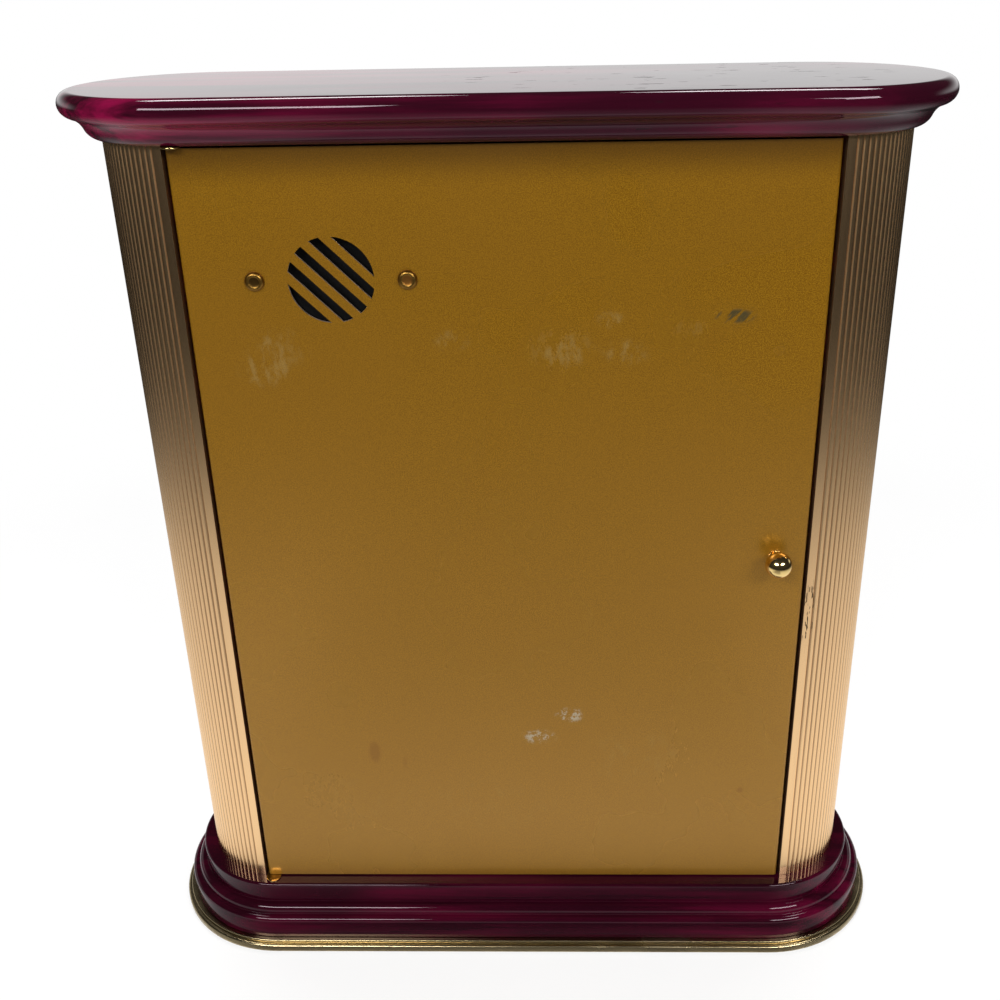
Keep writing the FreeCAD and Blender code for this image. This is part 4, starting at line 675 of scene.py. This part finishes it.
def traced(corners, steps=8):
    """Points along an outline. A corner of four numbers is reached by an arc: its radius and side."""
    points = [Vector(corners[0][:2])]
    for corner in corners[1:]:
        start, finish = points[-1], Vector(corner[:2])
        if len(corner) == 4:
            radius, side = corner[2:]
            run = finish - start
            half = run.length / 2
            across = Vector((run.y, -run.x)).normalized() * side
            middle = (start + finish) / 2 - across * math.sqrt(max(radius * radius - half * half, 0.0))
            first = start - middle
            last = finish - middle
            turn = first.angle_signed(last)
            for step in range(1, steps):
                spin = Matrix.Rotation(-turn * step / steps, 2)
                points.append(middle + spin @ first)
        points.append(finish)
    return points


def swept_oval(corners, half_length, steps=48, arc_steps=8):
    """A closed oval solid with a moulded edge: the outline runs up the edge, out from the end's axis."""
    profile = [(point.x * MM, point.y * MM) for point in traced(corners, arc_steps)]
    stations = oval_stations(half_length, steps)
    mesh = bpy.data.meshes.new("oval")
    verts = [(x + r * nx, r * ny, z) for x, nx, ny in stations for r, z in profile]
    rows, count = len(stations), len(profile)
    faces = []
    for row in range(rows):
        ahead = (row + 1) % rows
        for k in range(count - 1):
            faces.append((row * count + k, ahead * count + k, ahead * count + k + 1, row * count + k + 1))
    faces.append([row * count + count - 1 for row in range(rows)])
    faces.append([row * count for row in reversed(range(rows))])
    mesh.from_pydata(verts, [], faces)
    return facing_out(mesh)


def lathed(corners, center, axis, steps=64, arc_steps=10):
    """A solid of revolution: outline of radius and height, in millimetres, about an axis."""
    profile = traced(corners, arc_steps)
    middle = Vector(center) * MM
    way = Vector(axis)
    out = Vector((1, 0, 0)) if abs(way.x) < 0.5 else Vector((0, 1, 0))
    aside = way.cross(out)
    verts = []
    rings = []
    for point in profile:
        if abs(point.x) < 1e-6:
            rings.append([len(verts)])
            verts.append(middle + way * point.y * MM)
            continue
        rings.append(list(range(len(verts), len(verts) + steps)))
        for step in range(steps):
            turn = math.tau * step / steps
            away = out * math.cos(turn) + aside * math.sin(turn)
            verts.append(middle + way * point.y * MM + away * point.x * MM)
    faces = []
    closing = rings + ([rings[0]] if len(rings[0]) > 1 and len(rings[-1]) > 1 else [])
    for one, two in zip(closing, closing[1:]):
        for step in range(steps):
            ahead = (step + 1) % steps
            loop = [one[step % len(one)], one[ahead % len(one)]]
            loop += [two[ahead % len(two)], two[step % len(two)]]
            loop = list(dict.fromkeys(loop))
            if len(loop) > 2:
                faces.append(loop)
    mesh = bpy.data.meshes.new("lathed")
    mesh.from_pydata(verts, [], faces)
    return facing_out(mesh)


def united(*meshes):
    work = bmesh.new()
    for mesh in meshes:
        work.from_mesh(mesh)
    whole = bpy.data.meshes.new("united")
    work.to_mesh(whole)
    work.free()
    return whole


def make_mouldings():
    base = [
        (0.0, 4.9), (40.5, 4.9), (40.5, 12.0), (38.7, 13.8, 1.8, 1), (37.9, 13.8), (37.9, 14.5),
        (35.3, 17.1, 2.6, 1), (34.7, 17.1), (34.7, 24.0), (33.7, BASE_TOP, 1.0, 1), (0.0, BASE_TOP),
    ]
    mesh = softened(swept_oval(base, END_X), 0.35 * MM)
    finish_piece("base_wood", mesh, "burgundy_wood", replaced=["base_moulding"])
    top = [
        (0.0, CEILING), (30.1, CEILING), (34.386, 293.93, 4.6, 1), (38.166, 297.472, 6.0, -1),
        (40.75, 301.0, 3.7, 1), (37.05, TOP, 3.7, 1), (0.0, TOP),
    ]
    mesh = swept_oval(top, END_X, arc_steps=14)
    finish_piece("top_wood", mesh, "burgundy_wood", replaced=["top_board"])
    plate = [
        (0.0, 3.6), (30.7, 3.6), (30.7, 1.0), (43.7, 1.0), (43.7, 2.7), (42.8, 3.6, 0.9, 1), (42.2, 3.6),
        (42.2, 4.5), (41.8, 4.9, 0.4, 1), (0.0, 4.9),
    ]
    mesh = softened(swept_oval(plate, END_X), 0.15 * MM)
    finish_piece("brass_plate", mesh, "plate_brass", replaced=["base_plate"])


make_mouldings()


# Reeded ends: a plain shell, with the reeds set on it by a node tree
class Maker(Graph):
    """A geometry tree with named inputs, run once for its plain mesh."""

    def __init__(self, name):
        super().__init__(bpy.data.node_groups.new(name, "GeometryNodeTree"))
        self.sizes = {}
        self.tree.interface.new_socket("Geometry", in_out="OUTPUT", socket_type="NodeSocketGeometry")
        self.entry = self.tree.nodes.new("NodeGroupInput")

    def size(self, name, kind="Float"):
        socket = self.tree.interface.new_socket(name, in_out="INPUT", socket_type="NodeSocket" + kind)
        self.sizes[name] = socket.identifier
        return Wire(self, self.entry.outputs[name])

    def close(self, geometry, material):
        solid = self.node("GeometryNodeRealizeInstances", {0: geometry})
        painted = self.node("GeometryNodeSetMaterial", {"Geometry": solid, "Material": material})
        leave = self.tree.nodes.new("NodeGroupOutput")
        self.tree.links.new(painted.socket, leave.inputs[0])

    def run(self, **values):
        carrier = carrier_of(bpy.data.meshes.new("seed"))
        modifier = carrier.modifiers.new("maker", "NODES")
        modifier.node_group = self.tree
        for name, given in values.items():
            modifier[self.sizes[name.replace("_", " ").title()]] = given
        return evaluated_mesh(carrier)


def reed_maker():
    """Convex reeds of one section, turned step by step round an upright axis."""
    maker = Maker("reeds")
    count = maker.size("Count", "Int")
    step = maker.size("Step")
    root = maker.size("Root Radius")
    crest = maker.size("Crest Radius")
    height = maker.size("Height")
    foot = maker.size("Foot")
    center = maker.size("Center")
    turn = maker.size("Turn")
    near = root * maker.maths("COSINE", 0.5 * step)
    wide = root * maker.maths("SINE", 0.5 * step)
    ends = [maker.node("ShaderNodeCombineXYZ", {0: near, 1: wide * sign}) for sign in (-1, 1)]
    peak = maker.node("ShaderNodeCombineXYZ", {0: crest})
    arc = maker.node("GeometryNodeCurveArc",
                     {"Resolution": 9, "Start": ends[0], "Middle": peak, "End": ends[1]}, mode="POINTS")
    loop = maker.node("GeometryNodeSetSplineCyclic", {0: arc, 2: True})
    sheet = maker.node("GeometryNodeFillCurve", {0: loop})
    rise = maker.node("ShaderNodeCombineXYZ", {2: height})
    raised = maker.node("GeometryNodeExtrudeMesh",
                        {"Mesh": sheet, "Offset": rise, "Individual": False}, mode="FACES")
    under = maker.node("GeometryNodeFlipFaces", {0: sheet})
    both = maker.tree.nodes.new("GeometryNodeJoinGeometry")
    for part in (raised, under):
        maker.tree.links.new(part.socket, both.inputs[0])
    reed = maker.node("GeometryNodeMergeByDistance", {0: Wire(maker, both.outputs[0]), "Distance": 1e-6})
    points = maker.node("GeometryNodeMeshLine", {"Count": count, "Offset": (0.0, 0.0, 0.0)})
    index = maker.node("GeometryNodeInputIndex")
    spin = maker.node("ShaderNodeCombineXYZ", {2: (index - (count - 1) * 0.5) * step + turn})
    facing = maker.node("FunctionNodeEulerToRotation", {0: spin})
    reeds = maker.node("GeometryNodeInstanceOnPoints",
                       {"Points": points, "Instance": reed, "Rotation": facing})
    place = maker.node("ShaderNodeCombineXYZ", {0: center, 2: foot})
    moved = maker.node("GeometryNodeTransform", {"Geometry": reeds, "Translation": place})
    maker.close(moved, FINISH["reeded_aluminium"])
    return maker


def shell_outline():
    """Plan of one end shell about the end's own axis: lips, valley, flanges and inner face."""
    valley, wall = 29.28, 1.6
    lip_x = 96.2 - END_X
    lip_y = math.sqrt(END_RADIUS ** 2 - lip_x ** 2)
    half = math.radians(REED_COUNT * REED_DEGREES / 2)
    step = half + math.radians(0.9)
    inner = valley - wall
    flange = lip_x + wall
    inner_y = math.sqrt(inner ** 2 - flange ** 2)
    corners = [
        (lip_x, -lip_y),
        (END_RADIUS * math.cos(step), -END_RADIUS * math.sin(step), END_RADIUS, 1),
        (valley * math.cos(half), -valley * math.sin(half)),
    ]
    outline = traced(corners, 6)
    for number in range(1, 80):
        turn = -half + 2 * half * number / 80
        outline.append(Vector((valley * math.cos(turn), valley * math.sin(turn))))
    outline += traced([(valley * math.cos(half), valley * math.sin(half)),
                       (END_RADIUS * math.cos(step), END_RADIUS * math.sin(step)),
                       (lip_x, lip_y, END_RADIUS, 1),
                       (lip_x, lip_y - 9.0), (flange, lip_y - 9.0), (flange, inner_y)], 6)
    reach = math.atan2(inner_y, flange)
    for number in range(1, 48):
        turn = reach - 2 * reach * number / 48
        outline.append(Vector((inner * math.cos(turn), inner * math.sin(turn))))
    outline += [Vector(corner) for corner in
                ((flange, -inner_y), (flange, 9.0 - lip_y), (lip_x, 9.0 - lip_y))]
    return outline


def extruded(outline, low, high, sign, center):
    """A prism over an outline in plan, between two heights, turned half round where sign is -1."""
    count = len(outline)
    verts = [(sign * (center + point.x) * MM, sign * point.y * MM, level * MM)
             for level in (low, high) for point in outline]
    faces = [(k, (k + 1) % count, count + (k + 1) % count, count + k) for k in range(count)]
    faces += [list(range(count, 2 * count)), list(reversed(range(count)))]
    mesh = bpy.data.meshes.new("prism")
    mesh.from_pydata(verts, [], faces)
    return mesh


def make_columns():
    maker = reed_maker()
    for side, sign in (("right", 1), ("left", -1)):
        shell = softened(extruded(shell_outline(), BASE_TOP, CEILING, sign, END_X), 0.12 * MM, angle=55)
        finish_piece(f"column_shell_{side}", shell, "reeded_aluminium", replaced=[f"column_{side}"])
        reeds = maker.run(
            count=REED_COUNT, step=math.radians(REED_DEGREES), root_radius=29.26 * MM,
            crest_radius=END_RADIUS * MM,
            height=(CEILING - BASE_TOP) * MM, foot=BASE_TOP * MM, center=sign * END_X * MM,
            turn=0.0 if sign > 0 else math.pi,
        )
        finish_piece(f"column_reeds_{side}", reeds, "reeded_aluminium", crease=50, weighted=False)


make_columns()


# Door furniture: turned knob and rivets
def make_door_furniture():
    ball = 2.0 + math.sqrt(4.3 ** 2 - 1.7 ** 2)
    knob = [
        (0.0, 0.0), (2.6, 0.0), (2.6, 0.6), (2.4, 0.8, 0.2, 1), (1.9, 0.8), (1.7, 1.1), (1.7, 1.6),
        (2.1, 1.65), (2.1, 1.9), (1.75, 2.0), (4.3, ball, 4.3, 1), (0.0, ball + 4.3, 4.3, 1),
    ]
    steps = 96
    mesh = lathed(knob, (KNOB_X, DOOR_FACE, KNOB_Z), (0, 1, 0), steps)
    middle = Vector((KNOB_X * MM, KNOB_Z * MM))
    for vert in mesh.vertices:
        away = Vector((vert.co.x, vert.co.z)) - middle
        if vert.co.y < (DOOR_FACE + 0.81) * MM and away.length > 2.3 * MM:
            step = round(math.atan2(away.y, away.x) * steps / math.tau)
            notch = 0.94 if step % 3 == 0 else 1.0
            vert.co.x, vert.co.z = middle + away * notch
    finish_piece("turned_knob", mesh, "polished_brass", "back_door", ["door_knob"], crease=40)
    rivet = [
        (0.0, -2.8), (1.7, -2.8), (1.9, -2.6), (1.9, -2.0), (1.1, -2.0), (1.1, 0.0), (2.9, 0.0),
        (2.9, 0.3), (2.0, 1.28, 1.1, 1), (1.6, 1.2), (1.25, 0.9), (0.0, 0.8, 6.0, -1),
    ]
    pair = [lathed(rivet, (GRILLE_X + across, DOOR_FACE, GRILLE_Z), (0, 1, 0), 48)
            for across in (RIVET_ACROSS, -RIVET_ACROSS)]
    finish_piece("domed_rivets", united(*pair), "rivet_brass", "back_door", ["speaker_rivets"], crease=40)
    cone = [
        (0.0, 6.5), (0.0, 6.0), (2.5, 5.8), (5.0, 5.0), (5.6, 5.4), (12.2, 2.3), (12.9, 2.0), (13.6, 2.2),
        (14.3, 1.5), (15.4, 1.3), (15.4, 1.8), (14.4, 2.1), (13.7, 2.7), (12.9, 2.5), (12.3, 2.8),
        (5.7, 5.95), (5.0, 6.4), (2.5, 6.45),
    ]
    mesh = lathed(cone, (GRILLE_X, DOOR_FACE - 1.0, GRILLE_Z), (0, -1, 0))
    finish_piece("speaker_paper", mesh, "cone_paper", "back_door", ["speaker_cone"], crease=60)


make_door_furniture()


# Dial side: ring, minute marks, numbers and bob
def mark_maker():
    """Small flat bars set round the dial's axis, each pointing to it."""
    maker = Maker("dial_marks")
    count = maker.size("Count", "Int")
    radius = maker.size("Radius")
    width = maker.size("Width")
    length = maker.size("Length")
    thick = maker.size("Thick")
    depth = maker.size("Depth")
    height = maker.size("Height")
    section = maker.node("ShaderNodeCombineXYZ", {0: width, 1: thick, 2: length})
    bar = maker.node("GeometryNodeMeshCube", {"Size": section})
    outward = maker.node("ShaderNodeCombineXYZ", {2: radius})
    lifted = maker.node("GeometryNodeTransform", {"Geometry": bar, "Translation": outward})
    points = maker.node("GeometryNodeMeshLine", {"Count": count, "Offset": (0.0, 0.0, 0.0)})
    index = maker.node("GeometryNodeInputIndex")
    step = maker.maths("DIVIDE", math.tau, count)
    spin = maker.node("ShaderNodeCombineXYZ", {1: index * step})
    facing = maker.node("FunctionNodeEulerToRotation", {0: spin})
    bars = maker.node("GeometryNodeInstanceOnPoints",
                      {"Points": points, "Instance": lifted, "Rotation": facing})
    place = maker.node("ShaderNodeCombineXYZ", {1: depth, 2: height})
    moved = maker.node("GeometryNodeTransform", {"Geometry": bars, "Translation": place})
    maker.close(moved, FINISH["hand_black"])
    return maker


def make_dial():
    marks = mark_maker().run(count=60, radius=71.0 * MM, width=0.35 * MM, length=1.8 * MM, thick=0.1 * MM,
                             depth=(DIAL_FACE - 0.04) * MM, height=DIAL_Z * MM)
    finish_piece("minute_marks", marks, "hand_black")
    numbers = []
    number_circle = 53.5
    for hour in range(1, 13):
        text = bpy.data.curves.new(f"number_{hour}", "FONT")
        text.body = str(hour)
        text.size = 12.0 * MM
        text.align_x = "CENTER"
        text.align_y = "CENTER"
        text.extrude = 0.04 * MM
        mesh = evaluated_mesh(carrier_of(text))
        turn = math.radians(30 * hour)
        across = number_circle * math.sin(turn)
        height = DIAL_Z + number_circle * math.cos(turn)
        place = Vector((across, DIAL_FACE - 0.05, height)) * MM
        mesh.transform(Matrix.Translation(place) @ Matrix.Rotation(math.radians(90), 4, "X"))
        numbers.append(mesh)
    finish_piece("dial_numbers", united(*numbers), "hand_black")
    ring = [
        (73.5, 0.0), (79.5, 0.0), (79.5, 1.5), (76.4, 4.6, 3.1, 1), (75.6, 4.6), (75.2, 4.2), (74.4, 4.0),
        (72.3, 1.3), (72.3, 0.8), (73.5, 0.8),
    ]
    mesh = lathed(ring, (0, DIAL_FACE + 0.8, DIAL_Z), (0, -1, 0), 128)
    finish_piece("turned_dial_ring", mesh, "polished_brass", replaced=["dial_ring"])
    bob_radius, bulge = 21.0, 2.4
    curve = (bob_radius ** 2 + bulge ** 2) / (2 * bulge)
    bob = [
        (0.0, -0.8 - bulge), (bob_radius, -0.8, curve, 1), (bob_radius, 0.8), (17.6, 1.35), (17.3, 1.2),
        (16.9, 1.45), (0.0, 0.8 + bulge, 50.0, 1),
    ]
    mesh = lathed(bob, (0, -0.7, BOB_Z), (0, -1, 0), 96)
    finish_piece("turned_bob", mesh, "polished_brass", "pendulum", ["pendulum_bob"], crease=25)


make_dial()


# The other solids: bevelled copies where an edge shows, or the solid itself with its own finish
# Bevel widths in millimetres
BEVELLED = {
    "back_door": 0.22, "front_frame": 0.3, "movement_case": 0.5, "movement_cover": 0.3,
    "pendulum_drive_case": 0.4, "door_catch": 0.4, "catch_magnet": 0.25, "speaker_frame": 0.2,
    "speaker_magnet": 0.4, "upright_left": 0.4, "upright_right": 0.4, "dial_board": 0.3,
    "chamber_back": 0.3, "set_knob": 0.25, "volume_slider": 0.25, "chime_slider": 0.25, "batteries": 0.4,
    "pendulum_hanger": 0.25, "rating_nut": 0.2, "fixing_nut": 0.2, "knob_screw": 0.3, "cover_screws": 0.2,
    "plate_screws": 0.3, "upright_screws": 0.3, "tie_rod_nuts": 0.2, "hour_hand": 0.12,
    "minute_hand": 0.12, "second_hand": 0.1, "hour_markers": 0.12, "felt_pads": 0.2, "circuit_board": 0.1,
    "drive_coil": 0.2, "lower_pivot_lug": 0.08, "upper_pivot_lug": 0.08, "fixing_washer": 0.1,
}


def finish_the_rest():
    record = frame["record"]
    slots = {part["node"]: part["material_slot"] for part in record["subparts"]}
    bodies = {node: body for body, members in record["behaviour"]["bodies"].items() for node in members}
    for node, width in BEVELLED.items():
        mesh = softened(cleaned(node), width * MM)
        finish_piece("fine_" + node, mesh, slots[node], bodies[node], [node])
    for node, solid in nodes.items():
        for slot in solid.material_slots:
            slot.material = FINISH[slots[node]]


finish_the_rest()
